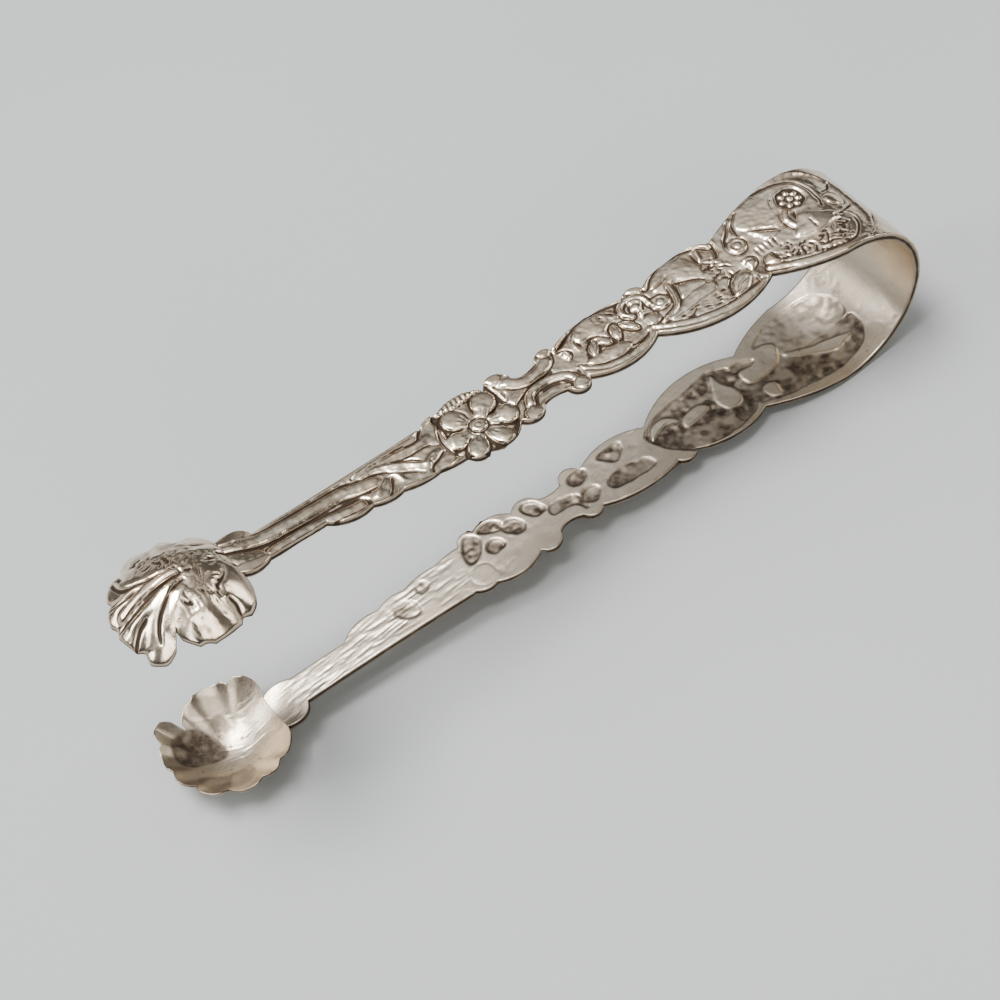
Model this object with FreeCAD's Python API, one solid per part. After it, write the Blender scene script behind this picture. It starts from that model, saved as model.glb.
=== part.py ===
"""Small spring tongs for sugar or ice lumps: one silver strip, bent to a U.

Strip frame, used while the parts are made: the two arms lie along -X from the bow's centre line,
Y runs across the strip and Z from the lower arm to the upper one. The lower arm is the upper one
turned half way round the X axis. At the end everything is tipped until the tongs rest on the back
of the lower bowl and the underside of the bow, with the table at Z = 0.
"""
import FreeCAD, Part
import math
import os

from FreeCAD import Rotation, Vector

# Strip
SHEET = 1.0              # thickness, over the stamped ornament
EDGE_REACH = 40.0        # how far cutting prisms run past the strip

# Bow
BOW_RADIUS = 10.7        # to the middle of the sheet
BOW_WIDTH = 14.5
BOW_WRAP = 3.2           # degrees that each end of the bow turns past square
HALF_ANGLE = 75.0        # degrees of plain bow on each side of its middle

# Arms: stations are distances from the bow's centre line towards the tip
ARM_RADIUS = 330.0       # long outward sweep, to the middle of the sheet
PANEL_END = 23.2         # the two larger cartouches
FLOWER_END = 51.5        # small cartouche, scrolls, flower and leaves
NECK = 77.3              # where the stem meets the bowl
NECK_FAR = 1.75          # half widths at the neck, on the two edges
NECK_NEAR = 3.6
SHOULDER = 3.6           # length of the bump beside the neck

# Edge outlines from the bow to the stem: length of each lobe, half width where it ends, crown
FAR_LOBES = (
    (10.3, 4.6, 0.55),   # large cartouche
    (10.1, 4.15, 1.25),  # middle cartouche
    (2.8, 4.3, 0.75),    # bead
    (10.4, 3.4, 0.95),   # small cartouche
    (2.6, 3.0, 0.8),     # scroll knob
    (3.3, 3.0, -0.5),    # hollow between the knobs
    (3.2, 3.6, 1.1),     # scroll knob
    (6.3, 3.5, 0.9),     # leaf behind the flower
    (2.5, 2.85, 0.35),   # leaf tip
)
NEAR_LOBES = (
    (8.2, 3.95, 0.4),    # large cartouche
    (15.0, 2.35, 2.25),  # middle cartouche
    (9.5, 2.45, 1.35),   # small cartouche
    (2.9, 2.3, 1.3),     # scroll knob
    (3.2, 2.4, -0.3),    # hollow between the knobs
    (3.5, 2.95, 1.1),    # scroll knob
    (4.8, 4.0, 0.9),     # flower petal
    (2.5, 3.5, 0.85),    # flower petal
    (3.4, 3.35, 0.15),   # leaf
    (4.6, 3.25, 0.3),    # leaf
    (3.7, 3.15, 0.4),    # leaf
    (5.3, 2.45, 0.75),   # rounded end of the stem's ridge
)
WAIST_FAR = 0.6          # half widths of the stem just before the shoulder
WAIST_NEAR = 3.2
SHOULDER_CROWN_FAR = 0.9
SHOULDER_CROWN_NEAR = 0.5

# Shell bowl: a paraboloid dish with a lobed edge
BOWL_REACH = 6.0         # from the neck to the bowl's centre
BOWL_SHIFT = 1.4         # the centre's offset towards the near edge
BOWL_RADIUS = 7.3        # to the notches between the lobes
BOWL_DEPTH = 3.9         # at that radius
BOWL_WALL = 1.0          # measured along Z
NECK_STEP = 0.5          # how far the shell stands outside the stem where they meet
UPPER_LIFT = 5.0         # degrees that the upper dish is bent further out at its neck
# Angle where each lobe ends, from the neck round the far side; notch depth; crown
BOWL_LOBES = (
    (64.0, 0.1, 0.6),
    (88.0, 0.05, 0.25),
    (122.0, 0.2, 0.6),
    (154.0, 0.1, 0.6),
    (179.0, -0.2, 0.3),
    (211.0, -0.4, 0.3),
    (236.0, 0.0, 0.9),
    (237.0, 1.4, 0.0),
    (262.0, 0.1, 0.4),
    (301.0, -0.1, 0.5),
)
LAST_LOBE_CROWN = 1.15


def arc_or_line(start, end, crown, away):
    """An arc from start to end that bulges by crown to the side that away points to."""
    if crown == 0.0:
        return Part.LineSegment(start, end).toShape()
    chord = end - start
    side = Vector(-chord.y, chord.x, 0.0).normalize()
    if side.dot(away) < 0.0:
        side = side * -1.0
    middle = (start + end) * 0.5 + side * crown
    return Part.Arc(start, middle, end).toShape()


def edge_stations(lobes, waist, neck, shoulder_crown):
    """Station, half width and crown of every stretch of one edge, from the bow to the neck."""
    station = 0.0
    stretches = [(station, BOW_WIDTH / 2.0, 0.0)]
    for length, half_width, crown in lobes:
        station += length
        stretches.append((station, half_width, crown))
    stretches.append((NECK - SHOULDER, waist, 0.0))
    stretches.append((NECK, neck, shoulder_crown))
    return stretches


def arm_outline():
    """Plan of the upper arm between the bow and the neck, as a face in the XY plane."""
    back = BOW_RADIUS + EDGE_REACH
    far = edge_stations(FAR_LOBES, WAIST_FAR, NECK_FAR, SHOULDER_CROWN_FAR)
    near = edge_stations(NEAR_LOBES, WAIST_NEAR, NECK_NEAR, SHOULDER_CROWN_NEAR)
    edges = []
    for stretches, side in ((far, 1.0), (near, -1.0)):
        corner = Vector(back, side * BOW_WIDTH / 2.0, 0.0)
        for station, half_width, crown in stretches:
            point = Vector(-station, side * half_width, 0.0)
            edges.append(arc_or_line(corner, point, crown, Vector(0.0, side, 0.0)))
            corner = point
    edges.append(Part.LineSegment(Vector(-NECK, NECK_FAR, 0.0), Vector(-NECK, -NECK_NEAR, 0.0)).toShape())
    edges.append(
        Part.LineSegment(Vector(back, BOW_WIDTH / 2.0, 0.0), Vector(back, -BOW_WIDTH / 2.0, 0.0)).toShape()
    )
    return Part.Face(Part.Wire(Part.__sortEdges__(edges)))


def bowl_centre():
    """Centre of the bowl in the XY plane."""
    return Vector(-(NECK + BOWL_REACH), -BOWL_SHIFT, 0.0)


def bowl_outline():
    """Plan of the upper bowl: lobes round its centre, closed by the straight neck."""
    centre = bowl_centre()
    first = Vector(-NECK, NECK_FAR, 0.0)
    last = Vector(-NECK, -NECK_NEAR, 0.0)
    corner = first
    edges = []
    for angle, notch, crown in BOWL_LOBES:
        turn = math.radians(angle)
        outward = Vector(math.cos(turn), math.sin(turn), 0.0)
        point = centre + outward * (BOWL_RADIUS - notch)
        edges.append(arc_or_line(corner, point, crown, (corner + point) * 0.5 - centre))
        corner = point
    edges.append(arc_or_line(corner, last, LAST_LOBE_CROWN, (corner + last) * 0.5 - centre))
    edges.append(Part.LineSegment(last, first).toShape())
    return Part.Face(Part.Wire(edges))


def bow_sector(start, end):
    """Length of the plain bow between two angles, measured from +X towards +Z."""
    inner = BOW_RADIUS - SHEET / 2.0
    outer = BOW_RADIUS + SHEET / 2.0
    middle = (start + end) / 2.0

    def at(radius, angle):
        turn = math.radians(angle)
        return Vector(radius * math.cos(turn), -BOW_WIDTH / 2.0, radius * math.sin(turn))

    edges = [
        Part.Arc(at(outer, start), at(outer, middle), at(outer, end)).toShape(),
        Part.LineSegment(at(outer, end), at(inner, end)).toShape(),
        Part.Arc(at(inner, end), at(inner, middle), at(inner, start)).toShape(),
        Part.LineSegment(at(inner, start), at(outer, start)).toShape(),
    ]
    return Part.Face(Part.Wire(edges)).extrude(Vector(0.0, BOW_WIDTH, 0.0))


def arm_point(station, offset):
    """Point of the upper arm's long sweep at a station, offset outwards from the sheet's middle."""
    wrap = math.radians(BOW_WRAP)
    reach = (BOW_RADIUS + ARM_RADIUS) * math.sin(wrap)
    rise = (BOW_RADIUS + ARM_RADIUS) * math.cos(wrap)
    radius = ARM_RADIUS - offset
    return Vector(-station, 0.0, rise - math.sqrt(radius ** 2 - (station - reach) ** 2))


def arm_sweep(start, end):
    """Curved sheet of the upper arm between two stations, wider than any outline."""
    inner = -SHEET / 2.0
    outer = SHEET / 2.0
    middle = (start[0] + end) / 2.0
    edges = [
        Part.Arc(start[2], arm_point(middle, outer), arm_point(end, outer)).toShape(),
        Part.LineSegment(arm_point(end, outer), arm_point(end, inner)).toShape(),
        Part.Arc(arm_point(end, inner), arm_point(middle, inner), start[1]).toShape(),
        Part.LineSegment(start[1], start[2]).toShape(),
    ]
    sheet = Part.Face(Part.Wire(edges)).extrude(Vector(0.0, 2.0 * EDGE_REACH, 0.0))
    sheet.translate(Vector(0.0, -EDGE_REACH, 0.0))
    return sheet


def at_station(station):
    """Start of a stretch of arm: its station and its inner and outer corner."""
    return (station, arm_point(station, -SHEET / 2.0), arm_point(station, SHEET / 2.0))


def at_bow_end():
    """Start of the arm's sweep, where the bow's wrap ends on a radius of the bow."""
    turn = math.radians(90.0 + BOW_WRAP)
    outward = Vector(math.cos(turn), 0.0, math.sin(turn))
    inner = outward * (BOW_RADIUS - SHEET / 2.0)
    outer = outward * (BOW_RADIUS + SHEET / 2.0)
    return (-inner.x, inner, outer)


def cut_to_plan(sheet):
    """Trim a curved sheet of the upper arm to the arm's outline."""
    prism = arm_outline().extrude(Vector(0.0, 0.0, EDGE_REACH))
    return sheet.common(prism)


def cartouche_panel():
    """End of the bow and the two larger cartouches."""
    bow_end = bow_sector(HALF_ANGLE, 90.0 + BOW_WRAP)
    sheet = bow_end.fuse(arm_sweep(at_bow_end(), PANEL_END)).removeSplitter()
    return cut_to_plan(sheet)


def flower_panel():
    """Small cartouche, crossed scrolls, flower and leaves."""
    return cut_to_plan(arm_sweep(at_station(PANEL_END), FLOWER_END))


def stem():
    """Narrow ridged stem between the leaves and the neck."""
    return cut_to_plan(arm_sweep(at_station(FLOWER_END), NECK))


def bowl_curve():
    """Height that the dish loses for each square millimetre of radius squared."""
    return BOWL_DEPTH / BOWL_RADIUS ** 2


def bowl_crest():
    """Height of the middle of the bowl's wall at its centre."""
    return arm_point(NECK, 0.0).z + NECK_STEP + bowl_curve() * BOWL_REACH ** 2


def dish(top):
    """Solid paraboloid with its crest at the height top, down to the XY plane."""
    rim = math.sqrt(top / bowl_curve())
    crest = Vector(0.0, 0.0, top)
    foot = Vector(rim, 0.0, 0.0)
    base = Vector(0.0, 0.0, 0.0)
    parabola = Part.BezierCurve()
    # A parabola's end tangents meet half way across it, level with its crest.
    parabola.setPoles([crest, Vector(rim / 2.0, 0.0, top), foot])
    edges = [
        parabola.toShape(),
        Part.LineSegment(foot, base).toShape(),
        Part.LineSegment(base, crest).toShape(),
    ]
    solid = Part.Face(Part.Wire(edges)).revolve(base, Vector(0.0, 0.0, 1.0), 360.0)
    solid.translate(bowl_centre())
    return solid


def shell_bowl(lift):
    """Thin lobed dish at the end of the upper arm, hollow towards the other arm and bent out by lift."""
    shell = dish(bowl_crest() + BOWL_WALL / 2.0).cut(dish(bowl_crest() - BOWL_WALL / 2.0))
    shell.rotate(arm_point(NECK, NECK_STEP), Vector(0.0, 1.0, 0.0), lift)
    return shell.common(bowl_outline().extrude(Vector(0.0, 0.0, EDGE_REACH)))


def rest_angle():
    """Degrees that the strip tips so that the bow and the lower bowl's back touch the table."""
    back = bowl_crest() + BOWL_WALL / 2.0
    bow = BOW_RADIUS + SHEET / 2.0
    reach = NECK + BOWL_REACH
    slope = 0.0
    for _ in range(20):
        below_bow = bow * math.sqrt(1.0 + slope ** 2)
        slope = (back + slope ** 2 / (4.0 * bowl_curve()) - below_bow) / reach
    return math.degrees(math.atan(slope))


def arm_parts(lift):
    """The five lengths of an upper arm, from the middle of the bow to the bowl."""
    return {
        "bow_half": bow_sector(0.0, HALF_ANGLE),
        "cartouche_panel": cartouche_panel(),
        "flower_panel": flower_panel(),
        "stem": stem(),
        "shell_bowl": shell_bowl(lift),
    }


def make_parts():
    """Every node of the strip, in the strip frame."""
    parts = {}
    for name, shape in arm_parts(0.0).items():
        shape.rotate(Vector(0.0, 0.0, 0.0), Vector(1.0, 0.0, 0.0), 180.0)
        parts["lower_" + name] = shape
    for name, shape in arm_parts(UPPER_LIFT).items():
        parts["upper_" + name] = shape
    return parts


def lay_on_table(parts):
    """Tip the strip, then put the origin under the middle of its box, on the table."""
    tip = rest_angle()
    for shape in parts.values():
        shape.rotate(Vector(0.0, 0.0, 0.0), Vector(0.0, 1.0, 0.0), tip)
    box = Part.makeCompound(list(parts.values())).optimalBoundingBox(False, False)
    drop = Vector(-(box.XMin + box.XMax) / 2.0, -(box.YMin + box.YMax) / 2.0, -box.ZMin)
    for shape in parts.values():
        shape.translate(drop)
    return tip, drop


def main():
    """Write one STEP file per node and print the numbers that place the joint."""
    parts = make_parts()
    tip, drop = lay_on_table(parts)
    os.makedirs("parts", exist_ok=True)
    for name, shape in parts.items():
        solid = shape.Solids[0]
        solid.exportStep(os.path.join("parts", name + ".step"))
        print("%-24s solids %d valid %s volume %.1f" % (name, len(shape.Solids), solid.isValid(), solid.Volume))
    print("tipped by %.4f degrees, then moved by %.4f %.4f %.4f" % (tip, drop.x, drop.y, drop.z))
    turn = Rotation(Vector(0.0, 1.0, 0.0), tip)
    hinge = turn.multVec(Vector(BOW_RADIUS - SHEET / 2.0, 0.0, 0.0)) + drop
    print("the bow flexes about %.4f %.4f %.4f" % (hinge.x, hinge.y, hinge.z))


main()
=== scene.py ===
"""Looks of small silver spring tongs: one stamped strip, bent to a U, with a shell bowl on each arm.

Lengths are in millimetres until a mesh is made. A place on an arm is its station, the distance from
the bow's centre line towards the bowl (negative round the bow), and its reach across the strip,
positive towards the far edge. A place on a bowl is measured from the bowl's centre: towards the tip,
and across. The ornament is worked into height maps, which the meshes are then lifted by.
"""
import math

import bpy
import numpy as np
from mathutils import Matrix, Vector


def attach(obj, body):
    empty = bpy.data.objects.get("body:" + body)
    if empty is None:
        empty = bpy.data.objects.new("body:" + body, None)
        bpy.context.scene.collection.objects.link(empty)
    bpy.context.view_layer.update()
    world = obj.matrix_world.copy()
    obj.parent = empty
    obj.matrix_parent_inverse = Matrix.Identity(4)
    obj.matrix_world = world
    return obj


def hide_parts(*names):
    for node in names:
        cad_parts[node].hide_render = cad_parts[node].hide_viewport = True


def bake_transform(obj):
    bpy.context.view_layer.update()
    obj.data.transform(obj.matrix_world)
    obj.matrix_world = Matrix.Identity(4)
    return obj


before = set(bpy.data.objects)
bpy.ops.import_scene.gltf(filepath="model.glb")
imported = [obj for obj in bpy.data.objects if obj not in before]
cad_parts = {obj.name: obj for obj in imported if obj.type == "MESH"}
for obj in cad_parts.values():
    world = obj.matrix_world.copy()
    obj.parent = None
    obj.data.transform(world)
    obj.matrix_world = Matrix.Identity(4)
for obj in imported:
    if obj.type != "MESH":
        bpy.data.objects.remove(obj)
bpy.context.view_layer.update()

MM = 0.001

# Strip, as the CAD frame has it
SHEET = 1.0
BOW_RADIUS = 10.7
BOW_WIDTH = 14.5
BOW_WRAP = math.radians(3.2)
ARM_RADIUS = 330.0
PANEL_END = 23.2
FLOWER_END = 51.5
NECK = 77.3
NECK_FAR = 1.75
NECK_NEAR = 3.6
SHOULDER = 3.6
SWEEP_REACH = (BOW_RADIUS + ARM_RADIUS) * math.sin(BOW_WRAP)
SWEEP_RISE = (BOW_RADIUS + ARM_RADIUS) * math.cos(BOW_WRAP)
BOW_END = BOW_RADIUS * math.sin(BOW_WRAP)

# Length of each lobe along an edge, half width where it ends, crown
FAR_LOBES = (
    (10.3, 4.6, 0.55), (10.1, 4.15, 1.25), (2.8, 4.3, 0.75), (10.4, 3.4, 0.95), (2.6, 3.0, 0.8),
    (3.3, 3.0, -0.5), (3.2, 3.6, 1.1), (6.3, 3.5, 0.9), (2.5, 2.85, 0.35),
)
NEAR_LOBES = (
    (8.2, 3.95, 0.4), (15.0, 2.35, 2.25), (9.5, 2.45, 1.35), (2.9, 2.3, 1.3), (3.2, 2.4, -0.3),
    (3.5, 2.95, 1.1), (4.8, 4.0, 0.9), (2.5, 3.5, 0.85), (3.4, 3.35, 0.15), (4.6, 3.25, 0.3),
    (3.7, 3.15, 0.4), (5.3, 2.45, 0.75),
)
WAIST_FAR = 0.6
WAIST_NEAR = 3.2
SHOULDER_CROWN_FAR = 0.9
SHOULDER_CROWN_NEAR = 0.5

# Shell bowl
BOWL_REACH = 6.0
BOWL_SHIFT = 1.4
BOWL_RADIUS = 7.3
BOWL_DEPTH = 3.9
BOWL_CURVE = BOWL_DEPTH / BOWL_RADIUS ** 2
NECK_STEP = 0.5
UPPER_LIFT = math.radians(5.0)
BOWL_LOBES = (
    (64.0, 0.1, 0.6), (88.0, 0.05, 0.25), (122.0, 0.2, 0.6), (154.0, 0.1, 0.6), (179.0, -0.2, 0.3),
    (211.0, -0.4, 0.3), (236.0, 0.0, 0.9), (237.0, 1.4, 0.0), (262.0, 0.1, 0.4), (301.0, -0.1, 0.5),
)
LAST_LOBE_CROWN = 1.15

# How the strip lies on the table
REST_TIP = math.radians(5.3302)
REST_DROP = (40.3014, 0.0, 11.2000)

# Meshes
CELL = 0.05                # of the height maps
STEP = 0.11                # between the rows of a mesh
COLUMNS = 122              # across the strip, between its edges
LIP = (0.0, 0.03, 0.08, 0.16, 0.28)   # columns next to an edge
LIP_ROUND = 0.2            # radius of the worn edge
INNER_LIP = 0.5            # how much the inner edge is worn next to the outer one
INNER_LEVEL = -0.5         # inner face, from the sheet's middle
BOWL_INNER_LEVEL = -0.32
NECK_SHELTER = 0.6         # past the neck, where the bowl's edge is not yet worn
NECK_MERGE = 2.6           # past the neck, the stem's ornament fades into the bowl's
NECK_BLEND = 4.0           # before the neck, the stem takes the bowl's arched section
RIPPLE = 0.26              # how far the bowl's rim swells on a lobe and dips in a notch
RIPPLE_WIDTH = 0.13        # of a notch, in radians
RIPPLE_START = 0.5         # angle from the neck where the ripple starts, and over which it grows
NOTCH_CUT = 0.3            # how much deeper a notch is than its corner
HUB = 0.02                 # radius of the innermost points of a bowl
WALL_BULGE = 0.6           # of the edge's middle, in steps between the outermost columns
EDGE_FADE = 1.6            # columns over which an edge's painted shade fades onto its faces
INNER_MARK = 0.3           # least patina value, which marks an inner face
# painted shade: how dark the side walls are painted, through the cut channel
PAINTED_WALL_SHADE = 0.9

# Height maps: corners of an arm's and of a bowl's, and the levels they start from
ARM_MAP = ((-17.2, -9.0), (78.4, 9.0))
BOWL_MAP = ((-8.8, -8.8), (8.8, 8.8))
ARM_FACE = 0.5
BOWL_FACE = 0.2
FAR_BELOW = 9.0            # level outside a motif, so that it never wins there
BEAD_GROOVE = (0.12, 0.18) # depth and width of the groove beside a moulding
MOAT_WIDTH = 0.22          # of the groove round a boss
BOSS_RIM = 0.45            # share of a boss's height that its rim has
MASK_SOFTNESS = 0.5        # of dents, their islands and hatched grounds
FINE_CAVITY = (0.16, 6.5)  # size of what a hollow is next to, and how dark its depth makes it
BROAD_CAVITY = (0.55, 3.2)
TOP_ROUND = 0.08           # height over which the tops are worn flat
WEAR = ((1.3, 0.04), (0.45, 0.026), (0.17, 0.012))   # size and height of each unevenness


# ---------------------------------------------------------------- outlines

def arc_height(x, start, end, crown):
    """Height at x of an arc, or a line, from start to end that bulges upwards by crown."""
    (x0, y0), (x1, y1) = start, end
    if crown == 0.0:
        return y0 + (y1 - y0) * (x - x0) / (x1 - x0)
    half = math.hypot(x1 - x0, y1 - y0) / 2.0
    radius = (half ** 2 + crown ** 2) / (2.0 * abs(crown))
    side = math.copysign(1.0, crown)
    sink = side * (radius - abs(crown))
    centre_x = (x0 + x1) / 2.0 + sink * (y1 - y0) / (2.0 * half)
    centre_y = (y0 + y1) / 2.0 - sink * (x1 - x0) / (2.0 * half)
    return centre_y + side * np.sqrt(np.maximum(radius ** 2 - (x - centre_x) ** 2, 0.0))


def edge_corners(lobes, waist, neck, shoulder_crown):
    """(station, half width, crown of the stretch that ends there) along one edge."""
    corners = [(0.0, BOW_WIDTH / 2.0, 0.0)]
    station = 0.0
    for length, half_width, crown in lobes:
        station += length
        corners.append((station, half_width, crown))
    corners.append((NECK - SHOULDER, waist, 0.0))
    corners.append((NECK, neck, shoulder_crown))
    return corners


FAR_EDGE = edge_corners(FAR_LOBES, WAIST_FAR, NECK_FAR, SHOULDER_CROWN_FAR)
NEAR_EDGE = edge_corners(NEAR_LOBES, WAIST_NEAR, NECK_NEAR, SHOULDER_CROWN_NEAR)


def half_width(station, corners):
    """Distance of one edge from the strip's centre line."""
    width = np.full(np.shape(station), BOW_WIDTH / 2.0)
    for start, end in zip(corners, corners[1:]):
        inside = (station >= start[0]) & (station <= end[0] + 1e-9)
        width = np.where(inside, arc_height(station, start[:2], end[:2], end[2]), width)
    return width


def bowl_corners():
    """((towards the neck, across), crown of the stretch that ends there) round the bowl's edge."""
    corners = [((BOWL_REACH, NECK_FAR + BOWL_SHIFT), 0.0)]
    for angle, notch, crown in BOWL_LOBES:
        turn = math.radians(angle)
        radius = BOWL_RADIUS - notch
        corners.append(((radius * math.cos(turn), radius * math.sin(turn)), crown))
    corners.append(((BOWL_REACH, BOWL_SHIFT - NECK_NEAR), LAST_LOBE_CROWN))
    corners.append((corners[0][0], 0.0))
    return corners


def ray_to_stretch(direction, start, end, crown):
    """Distance from the bowl's centre, along a direction, to an arc or line of its edge."""
    (x0, y0), (x1, y1) = start, end
    if crown == 0.0:
        return (x0 * y1 - y0 * x1) / (direction[0] * (y1 - y0) - direction[1] * (x1 - x0))
    half = math.hypot(x1 - x0, y1 - y0) / 2.0
    radius = (half ** 2 + crown ** 2) / (2.0 * crown)
    sink = (radius - crown) / (2.0 * half)
    centre = ((x0 + x1) / 2.0 - sink * (y1 - y0), (y0 + y1) / 2.0 + sink * (x1 - x0))
    along = direction[0] * centre[0] + direction[1] * centre[1]
    reach = along ** 2 - centre[0] ** 2 - centre[1] ** 2 + radius ** 2
    return along + np.sqrt(np.maximum(reach, 0.0))


def bowl_edge(turns):
    """Radius of the bowl's lobed edge at angles from the neck's direction."""
    directions = (np.cos(turns), np.sin(turns))
    corners = bowl_corners()
    radius = np.full(len(turns), BOWL_RADIUS)
    for (start, _), (end, crown) in zip(corners, corners[1:]):
        low = math.atan2(start[1], start[0])
        span = (math.atan2(end[1], end[0]) - low) % (2.0 * math.pi)
        inside = (turns - low) % (2.0 * math.pi) <= span + 1e-9
        radius = np.where(inside, ray_to_stretch(directions, start, end, crown), radius)
    return radius


# ---------------------------------------------------------------- height maps

def smooth_path(points, closed=False):
    """A Catmull-Rom curve through a few points."""
    points = np.array(points, float)
    if closed:
        padded = np.vstack([points[-1], points, points[:2]])
    else:
        padded = np.vstack([2 * points[0] - points[1], points, 2 * points[-1] - points[-2]])
    t = np.linspace(0.0, 1.0, 7)[:-1, None]
    pieces = []
    for a, b, c, d in zip(padded, padded[1:], padded[2:], padded[3:]):
        pieces.append(0.5 * (2 * b + (c - a) * t + (2 * a - 5 * b + 4 * c - d) * t ** 2
                             + (3 * b - a - 3 * c + d) * t ** 3))
    return np.vstack(pieces + [padded[-2:-1]])


def smooth_step(value):
    """From 0 to 1, held there outside, with no kink at either end."""
    value = np.clip(value, 0.0, 1.0)
    return value * value * (3.0 - 2.0 * value)


def scatter(phase, spread):
    """An uneven but repeatable number from 0 to 1 for each phase, to vary the cuts of a pattern."""
    return np.modf(np.abs(np.sin(phase) * spread))[0]


def blur(field, radius):
    """Three box blurs, close to a Gaussian of that radius in millimetres."""
    reach = max(1, int(round(radius / CELL)))
    for axis in (0, 1):
        for _ in range(3):
            margins = [(0, 0), (0, 0)]
            margins[axis] = (reach + 1, reach)
            padded = np.pad(field, margins, "edge")
            total = np.cumsum(padded, axis=axis)
            high = np.take(total, range(2 * reach + 1, total.shape[axis]), axis=axis)
            low = np.take(total, range(0, total.shape[axis] - 2 * reach - 1), axis=axis)
            field = (high - low) / (2 * reach + 1)
    return field


class Relief:
    """A height map over a rectangle, worked on one motif at a time, with a map of what is dark."""

    def __init__(self, corners, level, seed):
        low, high = corners
        self.low = low
        self.along = np.arange(low[0], high[0] + CELL, CELL)
        self.across = np.arange(low[1], high[1] + CELL, CELL)
        self.height = np.full((len(self.along), len(self.across)), level)
        self.dark = np.zeros_like(self.height)
        self.patina = np.zeros_like(self.height)
        self.shade = None
        self.random = np.random.default_rng(seed)
        self.drift = [self.noise(0.5), self.noise(0.5), self.noise(0.2)]

    def noise(self, scale):
        """Smooth noise over the map, with features of a size in millimetres."""
        field = blur(self.random.standard_normal(self.height.shape), scale)
        return field / field.std()

    def window(self, points, margin):
        """The part of the map round some points: its slices and its coordinates."""
        points = np.array(points)
        first = (points.min(0) - margin - self.low) / CELL
        last = (points.max(0) + margin - self.low) / CELL
        rows = slice(max(0, int(first[0])), max(0, int(last[0]) + 1))
        columns = slice(max(0, int(first[1])), max(0, int(last[1]) + 1))
        along, across = np.meshgrid(self.along[rows], self.across[columns], indexing="ij")
        return (rows, columns), along, across

    def distance(self, path, along, across):
        """Distance to a path, and how far along the path the nearest point is, from 0 to 1."""
        best = np.full(along.shape, 1e9)
        where = np.zeros(along.shape)
        count = len(path) - 1
        for index in range(count):
            a, b = path[index], path[index + 1]
            d = b - a
            f = np.clip(((along - a[0]) * d[0] + (across - a[1]) * d[1]) / (d @ d + 1e-12), 0.0, 1.0)
            gap = np.hypot(along - a[0] - f * d[0], across - a[1] - f * d[1])
            closer = gap < best
            best = np.where(closer, gap, best)
            where = np.where(closer, (index + f) / count, where)
        return best, where

    def stroke(self, points, width, height, taper=0.6):
        """A rounded ridge along a path, or a groove where height is negative."""
        path = smooth_path(points)
        place, along, across = self.window(path, 3.0 * width)
        gap, where = self.distance(path, along, across)
        ends = np.minimum(1.0, np.minimum(where, 1.0 - where) / max(taper, 1e-3) * 2.0) ** 0.5
        self.height[place] += height * ends * np.exp(-(gap / width) ** 2)

    def bead(self, points, width, level):
        """A round moulding that stands up to a level along a path."""
        path = smooth_path(points)
        place, along, across = self.window(path, 2.0 * width)
        gap, _ = self.distance(path, along, across)
        moulding = level * np.sqrt(np.maximum(0.0, 1.0 - (gap / width) ** 2)) - (gap > width) * FAR_BELOW
        depth, spread = BEAD_GROOVE
        groove = depth * np.exp(-((gap - width) / spread) ** 2)
        self.height[place] = np.maximum(self.height[place] - groove, moulding)

    def pad(self, centre, radii, level, turn=0.0, moat=0.14):
        """A round boss that stands up to a level, with a worn groove round it."""
        place, along, across = self.window([centre], max(radii) + 0.8)
        c, s = math.cos(turn), math.sin(turn)
        u = ((along - centre[0]) * c + (across - centre[1]) * s) / radii[0]
        v = ((across - centre[1]) * c - (along - centre[0]) * s) / radii[1]
        q = np.hypot(u, v)
        gap = (q - 1.0) * min(radii)
        dome = np.sqrt(np.maximum(0.0, 1.0 - q ** 2))
        boss = level * (BOSS_RIM + (1.0 - BOSS_RIM) * dome) - (q > 1.0) * FAR_BELOW
        groove = moat * np.exp(-(gap / MOAT_WIDTH) ** 2)
        self.height[place] = np.maximum(self.height[place] - groove, boss)

    def ring(self, centre, radius, width, height):
        """A round ridge or groove."""
        place, along, across = self.window([centre], radius + 3.0 * width)
        gap = np.hypot(along - centre[0], across - centre[1]) - radius
        self.height[place] += height * np.exp(-(gap / width) ** 2)

    def mask(self, points, softness):
        """How far inside a closed smooth outline each cell is, from 0 to 1."""
        path = smooth_path(points, closed=True)
        place, along, across = self.window(path, 2.0 * softness)
        gap, _ = self.distance(path, along, across)
        inside = np.zeros(along.shape, bool)
        for a, b in zip(path, path[1:]):
            if a[1] != b[1]:
                crossing = (a[1] > across) != (b[1] > across)
                inside ^= crossing & (along < a[0] + (across - a[1]) * (b[0] - a[0]) / (b[1] - a[1]))
        return place, along, across, smooth_step(np.where(inside, gap, -gap) / softness + 0.5)

    def field(self, points, level, softness=0.4, dark=0.0):
        """A flat or sunken area with a smooth outline."""
        place, _, _, inside = self.mask(points, softness)
        self.height[place] += inside * (level - self.height[place])
        self.dark[place] = np.maximum(self.dark[place], dark * inside)

    def pillow(self, points, level, sag=0.14, roll=0.9):
        """A raised area that rolls down softly towards its outline."""
        path = smooth_path(points, closed=True)
        place, along, across, inside = self.mask(points, 0.34)
        gap, _ = self.distance(path, along, across)
        top = level - sag * np.exp(-gap / roll)
        self.height[place] += inside * (top - self.height[place])

    def hollow(self, points, depth, dark):
        """A dent in the back of the sheet, with an uneven rim and dark patina in it."""
        place, _, _, inside = self.mask(points, MASK_SOFTNESS)
        uneven = 0.30 * self.drift[0][place] + 0.22 * self.drift[2][place]
        ragged = np.clip(inside * 3.0 - 1.0 + uneven, 0.0, 1.0)
        self.height[place] = np.maximum(self.height[place], depth * ragged)
        self.patina[place] = np.maximum(self.patina[place], dark * ragged)

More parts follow.
